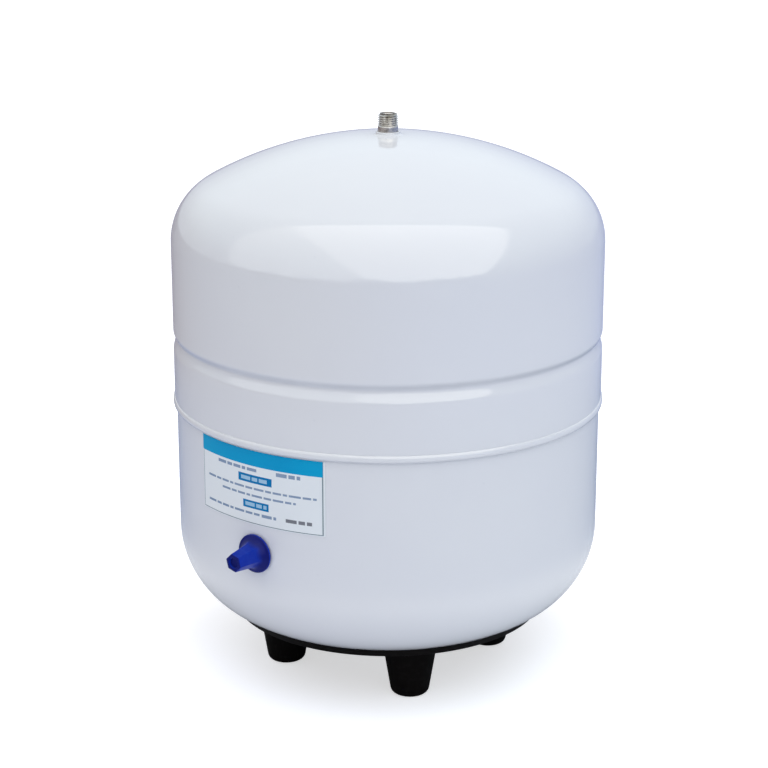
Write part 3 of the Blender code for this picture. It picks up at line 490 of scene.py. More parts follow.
def makeMoulded(name, look):
    # Moulded plastic or rubber: even grain, a little lighter where it was handled. Where a look has an axis
    # face shade, faces square to the valve's axis take a darker colour: painted shade.
    made, tree, shader = newMaterial(name, look["low"], gloss=look["gloss"])
    grain = placeGroup(tree, grainGroup, 0, Grain_Size=look["grainSize"], Grain_Depth=look["grainDepth"])
    marks = placeGroup(tree, marksGroup, 2, Patch_Size=look["patchSize"], Speck_Size=0.003)
    wornAndShaded = look["colour"]
    for row, mask, share in ((0, grain["Fleck"], look["fleck"]), (1, marks["Scuff"], look["scuff"])):
        wornAndShaded = toneBetween(tree, -2, row, scaled(tree, row, mask, share), wornAndShaded, look["pale"])
    if "axisFaceShade" in look:
        normal = addNode(tree, "ShaderNodeTexCoord", -5, 4).outputs["Normal"]
        facing = wired(tree, "ShaderNodeVectorMath", -4, 4, {0: normal, 1: (0.0, -1.0, 0.0)},
                       operation="DOT_PRODUCT")["Value"]
        wornAndShaded = toneBetween(tree, -1, 1, ramped(tree, -3, 4, facing, 0.2, 0.7), wornAndShaded, look["axisFaceShade"])
    return dressed(made, tree, shader, look, wornAndShaded, marks["Rub"], grain["Height"])


capLook = {
    # The cap's axis face colour is painted shade on its faces square to the valve's axis
    "colour": colourOf(8, 44, 158), "pale": colourOf(26, 72, 180), "axisFaceShade": colourOf(8, 20, 106),
    "low": 0.3, "high": 0.42, "gloss": 0.15, "grainSize": 0.0007, "grainDepth": 5e-6,
    "patchSize": 0.008, "fleck": 0.25, "scuff": 0.25,
}
standLook = {
    "colour": colourOf(18, 16, 15), "pale": colourOf(30, 28, 27), "low": 0.45, "high": 0.62, "gloss": 0.03,
    "grainSize": 0.0009, "grainDepth": 2e-5, "patchSize": 0.03, "fleck": 0.4, "scuff": 0.35,
}
linerLook = {
    "colour": colourOf(226, 228, 222), "pale": colourOf(240, 240, 236),
    "low": 0.35, "high": 0.5, "gloss": 0.5,
    "grainSize": 0.0012, "grainDepth": 1e-5, "patchSize": 0.03, "fleck": 0.4, "scuff": 0.2,
}
butylLook = {
    "colour": colourOf(34, 34, 35), "pale": colourOf(74, 74, 74), "low": 0.6, "high": 0.8, "gloss": 0.3,
    "grainSize": 0.0008, "grainDepth": 2e-5, "patchSize": 0.02, "fleck": 0.5, "scuff": 0.5,
}
sealLook = {
    "colour": colourOf(26, 26, 27), "pale": colourOf(58, 58, 58), "low": 0.45, "high": 0.6, "gloss": 0.4,
    "grainSize": 0.0003, "grainDepth": 3e-6, "patchSize": 0.004, "fleck": 0.3, "scuff": 0.2,
}

labelLooks = {
    "field": (colourOf(233, 237, 239), colourOf(230, 235, 238)),
    "band": (colourOf(0, 166, 212), colourOf(0, 150, 202)),
    "block": (colourOf(0, 124, 182), colourOf(0, 116, 176)),
    "frameLine": (colourOf(112, 128, 136), colourOf(126, 142, 150)),
    "ink": (colourOf(124, 146, 174), colourOf(142, 160, 184)),
    "darkInk": (colourOf(112, 114, 122), colourOf(128, 130, 136)),
    "lightInk": (colourOf(152, 192, 220), colourOf(164, 200, 224)),
}

printLook = {"low": 0.28, "high": 0.38, "gloss": 0.12}


def makePrint(name, tones):
    # Printed film: ink a little uneven over the film's own slow swell
    made, tree, shader = newMaterial("label" + name[0].upper() + name[1:], 0.3, gloss=printLook["gloss"])
    skin = placeGroup(tree, skinGroup, 0, Peel_Size=0.0008, Peel_Depth=1.5e-6, Swell_Size=0.018,
                      Swell_Depth=2.5e-5)
    marks = placeGroup(tree, marksGroup, 2, Patch_Size=0.02, Speck_Size=0.004)
    tone = toneBetween(tree, -2, 0, skin["Cloud"], *tones)
    return dressed(made, tree, shader, printLook, tone, marks["Rub"], skin["Height"])


upright, lying = 0.0, math.radians(90.0)
whitePaint = makePaint()
portSteel = makeMetal("portSteel", steelLook, upright)
boreHighlightSteel = makeMetal("boreHighlightSteel", boreHighlightLook, upright)
endShadeSteel = makeMetal("endShadeSteel", endShadeLook, upright)
valveSteel = makeMetal("valveSteel", steelLook, lying)
valveBrass = makeMetal("valveBrass", brassLook, lying)
valveZinc = makeMetal("valveZinc", zincLook, lying)
ringZinc = makeMetal("ringZinc", zincLook, upright)
capPlastic = makeMoulded("capPlastic", capLook)
standPlastic = makeMoulded("standPlastic", standLook)
linerPlastic = makeMoulded("linerPlastic", linerLook)
butylRubber = makeMoulded("butylRubber", butylLook)
sealRubber = makeMoulded("sealRubber", sealLook)
labelFinishes = {name: makePrint(name, look) for name, look in labelLooks.items()}
print("materials ready:", len(bpy.data.materials))


# Shells

shell = {
    "steel": 1.0 * mm,
    "upperCrown": 244.0 * mm,
    "lowerCrown": 247.5 * mm,
    "lowerKnuckle": 58.5 * mm,
    "upperKnuckle": 42.0 * mm,
    "beadProud": 1.0 * mm,
    "beadHalfHeight": 2.4 * mm,
    "grooveDepth": 1.7 * mm,
    "grooveUpperRun": 6.0 * mm,
    "grooveLowerRun": 9.0 * mm,
    "collarRise": 1.9 * mm,
    "collarHole": 6.8 * mm,
    "collarWall": 0.8 * mm,
    "collarWaist": (7.9 * mm, 0.5 * mm),
    "collarFoot": 9.2 * mm,
    "collarEnd": 14.0 * mm,
    "valveHole": 4.4 * mm,
    "holeMargin": 2.5,
    "holeSides": 48,
    "drillReach": 8.0 * mm,
    "grooveSteps": (16, 14),
    "sides": 192,
    "crownSteps": 26,
    "knuckleSteps": 18,
    "rippleDepth": 0.08 * mm,
    "rippleScale": 15.0,
}
upperRadius = upperHigh.x - shell["beadProud"]
beadZ = upperLow.z + shell["beadHalfHeight"]


def domeArcs(radius, knuckle, crown, inset, startR):
    # Crown and knuckle from a start radius out to the straight wall, above the tangent line
    knuckleR = radius - knuckle
    drop = math.sqrt((crown - knuckle) ** 2 - knuckleR ** 2)
    meeting = math.degrees(math.atan2(drop, knuckleR))
    start = math.degrees(math.acos(startR / (crown - inset)))
    points = arcPoints(0.0, -drop, crown - inset, start, meeting, shell["crownSteps"])
    points += arcPoints(knuckleR, 0.0, knuckle - inset, meeting, 0.0, shell["knuckleSteps"])[1:]
    points[0] = (startR, points[0][1], 0.0)
    return points, drop


def upperArcs(inset, startR):
    return domeArcs(upperRadius, shell["upperKnuckle"], shell["upperCrown"], inset, startR)


def lowerArcs(inset, startR):
    return domeArcs(lowerRadius, shell["lowerKnuckle"], shell["lowerCrown"], inset, startR)


apexZ = upperHigh.z - shell["collarRise"]
upperTangentZ = apexZ - shell["upperCrown"] + upperArcs(0.0, 0.0)[1]
lowerTangentZ = lowerLow.z + shell["lowerCrown"] - lowerArcs(0.0, 0.0)[1]


def crownZ(inset, r):
    crown = shell["upperCrown"]
    return apexZ - crown + math.sqrt((crown - inset) ** 2 - r ** 2)


def grooveArcs(inset):
    # The upper flank steepens down to the bottom, and the lower one is a long even wave
    outer = upperRadius - inset
    points = []
    upperSteps, lowerSteps = shell["grooveSteps"]
    for t in [0.0] + between(0.0, 1.0, upperSteps):
        sunk = 3.0 * t ** 3.2 - 2.0 * t ** 4.8
        rise = shell["grooveUpperRun"] * (1.0 - t)
        points.append((outer - shell["grooveDepth"] * sunk, grooveZ + rise, 0.0))
    for t in between(0.0, 1.0, lowerSteps):
        sunk = 0.5 + 0.5 * math.cos(math.pi * t)
        points.append((outer - shell["grooveDepth"] * sunk, grooveZ - shell["grooveLowerRun"] * t, 0.0))
    return points


def wallRows(first, last, r, longest=24.0 * mm):
    return slopeRows((r, first, 0.0), (r, last, 0.0), max(1, math.ceil(abs(last - first) / longest)))


def upperOutline():
    hole, foot, end, steel = (shell[key] for key in ("collarHole", "collarFoot", "collarEnd", "steel"))
    waistR, waistRise = shell["collarWaist"]
    grooveHigh, grooveLow = grooveZ + shell["grooveUpperRun"], grooveZ - shell["grooveLowerRun"]
    collar = softCorners([
        (hole, crownZ(steel, hole), 0.0), (hole, upperHigh.z, 0.2 * mm),
        (hole + shell["collarWall"], upperHigh.z, 0.35 * mm), (waistR, apexZ + waistRise, 0.9 * mm),
        (foot, crownZ(0.0, foot), 1.6 * mm), (end, crownZ(0.0, end), 0.0)], closed=False, steps=6)
    outer = collar + [(r, upperTangentZ + z, 0.0) for r, z, _ in upperArcs(0.0, end)[0][1:]]
    outer += wallRows(upperTangentZ, grooveHigh, upperRadius)[:-1] + grooveArcs(0.0)
    outer += wallRows(grooveLow, beadZ + shell["beadHalfHeight"], upperRadius)[:-1]
    for degrees in range(-90, 91, 12):
        turn = math.radians(degrees)
        outer.append((upperRadius + shell["beadProud"] * math.cos(turn),
                      beadZ - shell["beadHalfHeight"] * math.sin(turn), 0.0))
    inner = [(r, upperTangentZ + z, 0.0) for r, z, _ in upperArcs(steel, hole)[0][1:]]
    inner += wallRows(upperTangentZ, grooveHigh, upperRadius - steel)[:-1] + grooveArcs(steel)
    inner += wallRows(grooveLow, upperLow.z, upperRadius - steel)
    return outer + inner[::-1]


def lowerSide(inset):
    side = [(r, lowerTangentZ - z, 0.0) for r, z, _ in lowerArcs(inset, 0.0)[0]]
    r = lowerRadius - inset
    margin = shell["holeMargin"] * shell["valveHole"]
    low, high = valveZ - margin, valveZ + margin
    return side + [(r, low, 0.0), (r, high, 0.0)] + wallRows(high, lowerHigh.z, r)


def drilled(mesh, radius, reach):
    # The air valve's hole through the shell's front
    body, tool = newObject("shellBlank", mesh), newObject("shellDrill", bpy.data.meshes.new("shellDrill"))
    drill = bmesh.new()
    bmesh.ops.create_cone(drill, cap_ends=True, segments=shell["holeSides"], radius1=radius, radius2=radius,
                          depth=reach, matrix=onValve)
    drill.to_mesh(tool.data)
    drill.free()
    cut = body.modifiers.new("hole", "BOOLEAN")
    cut.object = tool
    cut.solver = "EXACT"
    return finishedMesh(body, tool)


turning = {"Sides": shell["sides"],
           "Ripple_Depth": shell["rippleDepth"], "Ripple_Scale": shell["rippleScale"]}
addTurned("upperShell", upperOutline(), whitePaint, "white_paint", "upper_shell", onAxis, **turning)
lowerOutline = lowerSide(0.0) + lowerSide(shell["steel"])[::-1]
lowerMesh = turnedMesh("lowerShell", lowerOutline, whitePaint, closed=False, **turning)
settle(lowerMesh, onAxis)
lowerMesh = drilled(lowerMesh, shell["valveHole"], shell["drillReach"])
settle(lowerMesh, Matrix.Identity(4))
addPiece("lowerShell", lowerMesh, "tank", "white_paint", "lower_shell")
print("shells ready")


# Water connector

port = {
    "bore": 3.6 * mm,
    "stub": 5.2 * mm,
    "flange": 11.0 * mm,
    "flangeThick": 2.0 * mm,
    "seat": 0.3 * mm,
    "neck": 6.5 * mm,
    "neckLength": 3.0 * mm,
    "threadLength": 7.6 * mm,
    "crest": 6.26 * mm,
    "chamfer": 0.9 * mm,
    "countersink": 0.8 * mm,
    "pitch": 25.4 / 18.0 * mm,
    "threadDepth": 0.8 * mm,
    "endShadeDepth": 0.7 * mm,
    "endShadeShare": 0.7,
    "boreHighlightDepth": 2.6 * mm,
    "boreHighlightReach": 0.2 * mm,
    "rowsPerTurn": 12.0,
    "chamferRows": 6,
    "sides": 96,
}
threadLow = upperHigh.z + port["neckLength"]
threadHigh = threadLow + port["threadLength"]


def portOutline():
    bore, stub, flange, neck, crest = (port[key] for key in ("bore", "stub", "flange", "neck", "crest"))
    flangeTop = crownZ(shell["steel"], flange) - port["seat"]
    flangeLow = flangeTop - port["flangeThick"]
    edge, sink = crest - port["chamfer"], port["countersink"]
    corners = [(bore, portLow.z, 0.3 * mm), (stub, portLow.z, 0.3 * mm), (stub, flangeLow, 0.2 * mm),
               (flange, flangeLow, 0.4 * mm), (flange, flangeTop, 0.4 * mm), (neck, flangeTop, 0.2 * mm),
               (neck, threadLow, 0.15 * mm)]
    rows = round(port["threadLength"] / (port["pitch"] / port["rowsPerTurn"]))
    corners += slopeRows((neck, threadLow, 0.0), (crest, threadHigh, 0.0), rows)
    corners += slopeRows((crest, threadHigh, 0.0), (edge, portHigh.z, 0.0), port["chamferRows"])[:-1]
    corners += [(edge, portHigh.z, 0.15 * mm), (bore + sink, portHigh.z, 0.1 * mm),
                (bore, portHigh.z - sink, 0.3 * mm)]
    return softCorners(corners)


connector = addTurned(
    "waterConnector", portOutline(), portSteel, "stainless_steel", "water_connector", onAxis,
    Sides=port["sides"], Thread_Depth=port["threadDepth"], Thread_Pitch=port["pitch"],
    Thread_Low=threadLow, Thread_High=portHigh.z + port["pitch"], Thread_Core=port["stub"])
for finish in (boreHighlightSteel, endShadeSteel):
    connector.data.materials.append(finish)
for face in connector.data.polygons:
    # The end face takes a darker, duller copy of the steel, painted shade, and the bore below it a brighter
    # copy, a painted highlight
    depth = portHigh.z - face.center.z
    reach = math.hypot(face.center.x, face.center.y - axisY)
    if depth < port["endShadeDepth"] and reach < port["crest"] - port["endShadeShare"] * port["chamfer"]:
        face.material_index = 2
    elif depth < port["boreHighlightDepth"] and reach < port["bore"] + port["boreHighlightReach"]:
        face.material_index = 1
print("connector ready")


# Air valve and its cap, along the valve's own axis from the shell outwards

valve = {
    "headRadius": 8.0 * mm,
    "headThick": 2.0 * mm,
    "headDrop": 3.2 * mm,
    "shank": 4.0 * mm,
    "shankLength": 5.0 * mm,
    "thread": 3.85 * mm,
    "length": 17.0 * mm,
    "tipChamfer": 0.5 * mm,
    "bore": 2.65 * mm,
    "airway": 2.2 * mm,
    "boreDepth": 8.0 * mm,
    "boreStep": 0.5 * mm,
    "pitch": 25.4 / 32.0 * mm,
    "threadDepth": 0.42 * mm,
    "rowsPerTurn": 10.0,
    "washerRadius": 7.0 * mm,
    "washerClearance": 0.3 * mm,
    "nutFlats": 11.0 * mm,
    "nutChamfer": 0.4 * mm,
    "nutClearance": 0.15 * mm,
    "nutHexagonLimit": 1.14,
    "sides": 72,
}


def stemOutline():
    head, shank, thread, bore, airway = (
        valve[key] for key in ("headRadius", "shank", "thread", "bore", "airway"))
    headHigh, shankHigh, end = -valve["headDrop"], valve["shankLength"], valve["length"]
    headLow, boreLow, tip = headHigh - valve["headThick"], end - valve["boreDepth"], end - valve["tipChamfer"]
    corners = [(airway, headLow, 0.2 * mm), (head, headLow, 0.5 * mm), (head, headHigh, 0.2 * mm),
               (shank, headHigh, 0.1 * mm), (shank, shankHigh, 0.1 * mm), (thread, shankHigh, 0.0)]
    rows = round((tip - shankHigh) / (valve["pitch"] / valve["rowsPerTurn"]))
    corners += slopeRows((thread, shankHigh, 0.0), (thread, tip, 0.0), rows)
    corners += [(thread - valve["tipChamfer"], end, 0.1 * mm), (bore, end, 0.2 * mm),
                (bore, boreLow, 0.1 * mm), (airway, boreLow - valve["boreStep"], 0.1 * mm)]
    return softCorners(corners)


def nutOutline():
    low, high = wallY - nutHigh.y, wallY - nutLow.y
    flats, bore = valve["nutFlats"] / 2.0, valve["shank"] + valve["nutClearance"]
    chamfer = valve["nutChamfer"]
    return softCorners([
        (bore, low, 0.2 * mm), (flats - chamfer / 2.0, low, 0.0), (flats, low + chamfer, 0.1 * mm, 1.0),
        (flats, high - chamfer, 0.1 * mm, 1.0), (flats - chamfer / 2.0, high, 0.0), (bore, high, 0.3 * mm)])


def washerOutline():
    low, high = wallY - washerHigh.y, wallY - washerLow.y
    rim, bore = valve["washerRadius"], valve["shank"] + valve["washerClearance"]
    return softCorners([(bore, low, 0.1 * mm), (rim, low, 0.1 * mm), (rim, high, 0.25 * mm),
                        (bore, high, 0.1 * mm)])


addTurned("valveStem", stemOutline(), valveBrass, "brass", "valve_stem", onValve, Sides=valve["sides"],
          Thread_Depth=valve["threadDepth"], Thread_Pitch=valve["pitch"], Thread_Low=valve["shankLength"],
          Thread_High=valve["length"] + valve["pitch"], Thread_Core=0.5 * (valve["bore"] + valve["thread"]))
addTurned("valveNut", nutOutline(), valveBrass, "brass", "valve_nut", onValve, Sides=valve["sides"],
          Hexagon_Limit=valve["nutHexagonLimit"])
addTurned("valveFlatWasher", washerOutline(), valveZinc, "zinc_plate", "valve_flat_washer", onValve,
          Sides=valve["sides"])

cap = {
    "flange": 12.5 * mm,
    "edge": 1.5 * mm,
    "edgeDraw": 0.25 * mm,
    "wallGap": 0.5 * mm,
    "bellStart": (1.6 * mm, 0.35 * mm),
    "bellBend": (8.1 * mm, 3.9 * mm),
    "bellEnd": 7.6 * mm,
    "bellRows": 14,
    "hexagonStart": 0.3,
    "hexagonEase": 1.5,
    "hexagonLimit": 1.13,
    "stubHexagon": 0.85,
    "stub": 6.8 * mm,
    "stubRows": 8,
    "endFlats": 5.2 * mm,
    "endRound": 0.4 * mm,
    "endBevel": 0.12 * mm,
    "hexagonTurn": math.radians(45.0),
    "recess": 3.4 * mm,
    "recessDepth": 1.6 * mm,
    "recessDraw": 0.15 * mm,
    "threadBore": 4.2 * mm,
    "boreEnd": 18.6 * mm,
    "cavity": 6.95 * mm,
    "cavityEnd": 4.1 * mm,
    "mouth": 7.6 * mm,
    "sides": 120,
    "sharpDegrees": 40.0,
}


def capOutline():
    flange, edge, stub, flats, bore, cavity = (
        cap[key] for key in ("flange", "edge", "stub", "endFlats", "threadBore", "cavity"))
    low, high = cap["wallGap"], wallY - capLow.y
    flangeHigh, floor, tip = low + edge, high - cap["recessDepth"], high - cap["endRound"]
    startIn, startRise = cap["bellStart"]
    outer = softCorners([
        (cap["mouth"], low, 0.0), (flange - 0.1 * mm, low, 0.35 * mm), (flange, low + 0.5 * edge, 0.5 * mm),
        (flange - cap["edgeDraw"], flangeHigh, 0.45 * mm), (flange - startIn, flangeHigh + startRise, 0.0)],
        closed=False, steps=5)
    start, bend, end = Vector(outer[-1][:2]), Vector(cap["bellBend"]), Vector((stub, cap["bellEnd"]))
    for t in between(0.0, 1.0, cap["bellRows"]):
        # The bell turns from round to nearly the whole hexagon
        eased = (max(0.0, t - cap["hexagonStart"]) / (1.0 - cap["hexagonStart"])) ** cap["hexagonEase"]
        outer.append((*curveAt(start, bend, end, t), cap["stubHexagon"] * eased))
    outer += slopeRows((stub, cap["bellEnd"], cap["stubHexagon"]), (flats, tip, 1.0), cap["stubRows"])
    outer += [(flats - cap["endBevel"], high - cap["endBevel"], 1.0), (flats - cap["endRound"], high, 1.0)]
    inner = softCorners([
        (flats - cap["endRound"], high, 0.0), (cap["recess"], high, 0.3 * mm),
        (cap["recess"] - cap["recessDraw"], floor, 0.3 * mm), (0.0, floor, 0.0), (0.0, cap["boreEnd"], 0.0),
        (bore, cap["boreEnd"], 0.2 * mm), (bore, cap["cavityEnd"] + 0.6 * mm, 0.1 * mm),
        (cavity, cap["cavityEnd"], 0.2 * mm), (cavity, low + 0.6 * edge, 0.2 * mm),
        (cap["mouth"], low, 0.0)], closed=False)
    return outer + inner[1:-1]


addTurned("valveCap", capOutline(), capPlastic, "blue_plastic", "valve_cap", onValve, body="cap",
          sharpDegrees=cap["sharpDegrees"], Sides=cap["sides"], Hexagon_Turn=cap["hexagonTurn"],
          Hexagon_Limit=cap["hexagonLimit"])
print("valve and cap ready")


# Stand

stand = {
    "seat": 0.3 * mm,
    "rimRadius": 106.4 * mm,
    "rimSlope": 3.4 * mm,
    "rimLip": 1.1 * mm,
    "innerRadius": 46.0 * mm,
    "plate": 2.4 * mm,
    "hoopDepth": 5.0 * mm,
    "ribs": 8,
    "ribThick": 2.0 * mm,
    "ribInnerDepth": 2.6 * mm,
    "ribOuterDepth": 1.0 * mm,
    "legs": 4,
    "legCircle": 70.0 * mm,
    "legTurn": math.radians(3.0),
    "footRadius": 12.8 * mm,
    "footRound": 4.4 * mm,
    "legDraft": math.radians(8.6),
    "legWall": 2.4 * mm,
    "sole": 3.0 * mm,
    "sides": 180,
    "legSides": 72,
    "underSteps": 12,
    "footSteps": 8,
}


def underShell(inset, r):
    # Height of the lower dome's surface, set in or out, at a radius
    knuckle, crown = shell["lowerKnuckle"], shell["lowerCrown"]
    knuckleR = lowerRadius - knuckle
    if r <= (crown - inset) * knuckleR / (crown - knuckle):
        return lowerLow.z + crown - math.sqrt((crown - inset) ** 2 - r ** 2)
    return lowerTangentZ - math.sqrt((knuckle - inset) ** 2 - (r - knuckleR) ** 2)


def ringOutline():
    rim, inner, plate, rimSlope = (stand[key] for key in ("rimRadius", "innerRadius", "plate", "rimSlope"))
    under = -stand["seat"] - plate
    foot, hoop = rim - rimSlope, inner + plate
    rimTop = underShell(-stand["seat"], rim)
    rimLow = underShell(under, foot) - stand["rimLip"]
    slope = rimSlope / (rimTop - rimLow)
    hoopLow = underShell(under, inner) - stand["hoopDepth"] + plate
    corners = [(inner, underShell(plate, inner), 0.0), (rim + slope * plate, rimTop + plate, 0.0),
               (foot, rimLow, 0.6 * mm)]
    corners += [(r, underShell(under, r), 0.0) for r in between(foot - plate, hoop, stand["underSteps"])]
    return softCorners(corners + [(hoop, hoopLow, 0.6 * mm), (inner, hoopLow, 0.6 * mm)])


def legOutline(grow, low, high):
    # The leg's own outline, or with a wall taken off, its core's
    draft = math.tan(stand["legDraft"])
    r = stand["footRadius"] - grow
    if grow:
        return [(0.0, low, 0.0), (r + draft * low, low, 0.0), (r + draft * high, high, 0.0), (0.0, high, 0.0)]
    rounding = stand["footRound"]
    end = -math.degrees(stand["legDraft"])
    foot = arcPoints(r - rounding, rounding, rounding, -90.0, end, stand["footSteps"])
    return [(0.0, low, 0.0)] + foot + [(r + draft * high, high, 0.0), (0.0, high, 0.0)]


def ribMesh():
    overlap = stand["plate"] / 2.0
    under = -stand["seat"] - stand["plate"]
    hoop, rim = stand["innerRadius"] + overlap, stand["rimRadius"] - stand["rimSlope"] - overlap
    outline = [(hoop, underShell(under, hoop) - stand["ribInnerDepth"]),
               (rim, underShell(under, rim) - stand["ribOuterDepth"]),
               (rim, underShell(under, rim) + overlap), (hoop, underShell(under, hoop) + overlap)]
    mesh = bpy.data.meshes.new("standRib")
    points = [(r, side * stand["ribThick"] / 2.0, z) for side in (-1.0, 1.0) for r, z in outline]
    walls = [(i, i + 4, (i + 1) % 4 + 4, (i + 1) % 4) for i in range(4)]
    mesh.from_pydata(points, [], [(0, 1, 2, 3), (7, 6, 5, 4)] + walls)
    mesh.materials.append(standPlastic)
    return mesh


def standForm(name, outline, sides, share=0.5):
    # Turned by a share of a facet, so that its faces don't meet the others' edges
    mesh = turnedMesh(name, outline, standPlastic, Sides=sides)
    settle(mesh, Matrix.Rotation(share * 2.0 * math.pi / sides, 4, "Z"))
    return mesh


def standTool(name, mesh, radius, angle, collection):
    tool = newObject(name, mesh, collection)
    tool.matrix_world = Matrix.Rotation(angle, 4, "Z") @ Matrix.Translation((radius, 0.0, 0.0))
    return tool


def makeStand():
    sides, legSides = stand["sides"], stand["legSides"]
    top = underShell(-stand["seat"], stand["rimRadius"]) + stand["plate"]
    seatPoints = [(r, lowerTangentZ - z, 0.0) for r, z, _ in lowerArcs(-stand["seat"], 0.0)[0]]
    ring = standForm("standRing", ringOutline(), sides)
    leg = standForm("standLeg", legOutline(0.0, 0.0, top), legSides)
    core = standForm("standCore", legOutline(stand["legWall"], stand["sole"], top + stand["plate"]), legSides)
    seat = standForm("standSeat", seatPoints + [(0.0, lowerTangentZ, 0.0)], sides, 0.0)
    rib = ribMesh()
    added, removed = (bpy.data.collections.new(name) for name in ("standAdded", "standRemoved"))
    for collection in (added, removed):
        bpy.context.scene.collection.children.link(collection)
    tools = [standTool("standSeat", seat, 0.0, 0.0, removed)]
    for i in range(stand["legs"]):
        angle = 2.0 * math.pi * (i + 0.5) / stand["legs"] + stand["legTurn"]
        tools.append(standTool("standLeg", leg, stand["legCircle"], angle, added))
        tools.append(standTool("standCore", core, stand["legCircle"], angle, removed))
    for i in range(stand["ribs"]):
        angle = 2.0 * math.pi * i / stand["ribs"] + stand["legTurn"]
        tools.append(standTool("standRib", rib, 0.0, angle, added))
    blank = newObject("standBlank", ring)
    for operation, collection in (("UNION", added), ("DIFFERENCE", removed)):
        step = blank.modifiers.new(operation.lower(), "BOOLEAN")
        step.operation = operation
        step.operand_type = "COLLECTION"
        step.collection = collection
        step.solver = "EXACT"
    done = finishedMesh(blank, *tools)
    for collection in (added, removed):
        bpy.data.collections.remove(collection)
    settle(done, onAxis)
    return done


addPiece("baseStand", makeStand(), "tank", "black_plastic", "base_stand")
print("stand ready")


# Label: one curved film, with its sizes in mm from its left edge and its top edge

label = {
    "lift": 0.05 * mm,
    "thick": 0.2 * mm,
    "width": 98.6,
    "longestCell": 1.6,
    "tallestCell": 4.0,
    "fields": [
        ("frameLine", 0.5, 97.5, 0.0, 47.6),
        ("field", 1.0, 96.7, 0.0, 47.1),
        ("band", 0.0, 97.2, 0.0, 10.0),
        ("block", 36.1, 62.5, 15.9, 21.2),
        ("block", 39.8, 60.0, 32.8, 37.8),
    ],
    "lines": [
        ("ink", 17.4, 51.0, 11.6, 13.6),
        ("ink", 65.7, 82.5, 11.2, 13.6),
        ("ink", 6.6, 93.2, 24.0, 25.4),
        ("ink", 21.0, 79.4, 28.6, 30.0),
        ("ink", 6.4, 53.0, 40.3, 41.8),
        ("ink", 54.6, 65.4, 40.2, 42.2),
        ("darkInk", 72.2, 90.0, 39.9, 42.2),
        ("lightInk", 38.4, 60.4, 17.4, 19.8),
        ("lightInk", 41.6, 58.4, 34.1, 36.5),
    ],
    "barLengths": (7.6, 4.4, 6.1, 3.0, 8.2, 5.6),
    "barSpace": 1.2,
}


def barsOf(finish, left, right, top, bottom):
    # A line of print as a row of bars, whose lengths take turns
    bars = []
    start, i = left, 0
    while start < right - label["barSpace"]:
        end = min(start + label["barLengths"][i % len(label["barLengths"])], right)
        bars.append((finish, start, end, top, bottom))
        start = end + label["barSpace"]
        i += 1
    return bars


def cellLines(edges, longest):
    lines = sorted(set(round(edge, 3) for edge in edges))
    full = [lines[0]]
    for first, last in zip(lines, lines[1:]):
        full += between(first, last, max(1, math.ceil((last - first) / longest)))
    return full


def makeLabel():
    fields = label["fields"] + [bar for line in label["lines"] for bar in barsOf(*line)]
    height = (labelHigh.z - labelLow.z) / mm
    us = cellLines([0.0, label["width"]] + [u for _, left, right, _, _ in fields for u in (left, right)],
                   label["longestCell"])
    ds = cellLines([0.0, height] + [d for _, _, _, top, bottom in fields for d in (top, bottom)],
                   label["tallestCell"])
    names = list(labelFinishes)
    inner = lowerRadius + label["lift"]
    points, faces, finishes = [], [], []
    for r in (inner + label["thick"], inner):
        for u in us:
            angle = (u - label["width"] / 2.0) * mm / inner
            for d in ds:
                points.append((r * math.sin(angle), axisY - r * math.cos(angle), labelHigh.z - d * mm))
    tall, side = len(ds), len(us) * len(ds)
    for i in range(len(us) - 1):
        for j in range(tall - 1):
            # A cell takes the finish of the last field that it lies in
            u, d = (us[i] + us[i + 1]) / 2.0, (ds[j] + ds[j + 1]) / 2.0
            finish = "field"
            for name, left, right, top, bottom in fields:
                if left < u < right and top < d < bottom:
                    finish = name
            a = i * tall + j
            faces.append((a, a + 1, a + tall + 1, a + tall))
            faces.append((side + a, side + a + tall, side + a + tall + 1, side + a + 1))
            finishes += [names.index(finish), names.index("field")]
    rim = [i * tall for i in range(len(us))] + [side - tall + j for j in range(1, tall)]
    rim += [i * tall + tall - 1 for i in range(len(us) - 2, -1, -1)] + list(range(tall - 2, 0, -1))
    for a, b in zip(rim, rim[1:] + rim[:1]):
        faces.append((a, b, b + side, a + side))
        finishes.append(names.index("field"))
    mesh = bpy.data.meshes.new("labelFilm")
    mesh.from_pydata(points, [], faces)
    for finish in labelFinishes.values():
        mesh.materials.append(finish)
    mesh.polygons.foreach_set("material_index", finishes)
    settle(mesh, Matrix.Identity(4))
    return mesh


addPiece("labelFilm", makeLabel(), "tank", "label_film", "label")
print("label ready")


# Inner pieces keep the frame's own shapes

innerFinishes = {
    "connector_o_ring": sealRubber, "cap_seal": sealRubber, "valve_inner_seal": sealRubber,
    "core_gasket": sealRubber, "core_seal": sealRubber, "liner_nut": portSteel, "water_liner": linerPlastic,
    "diaphragm": butylRubber, "clench_ring": ringZinc, "core_body": valveBrass, "core_spring": valveSteel,
    "core_pin": valveSteel,
}
for nodeName, finish in innerFinishes.items():
    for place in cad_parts[nodeName].material_slots:
        place.material = finish


# Studio

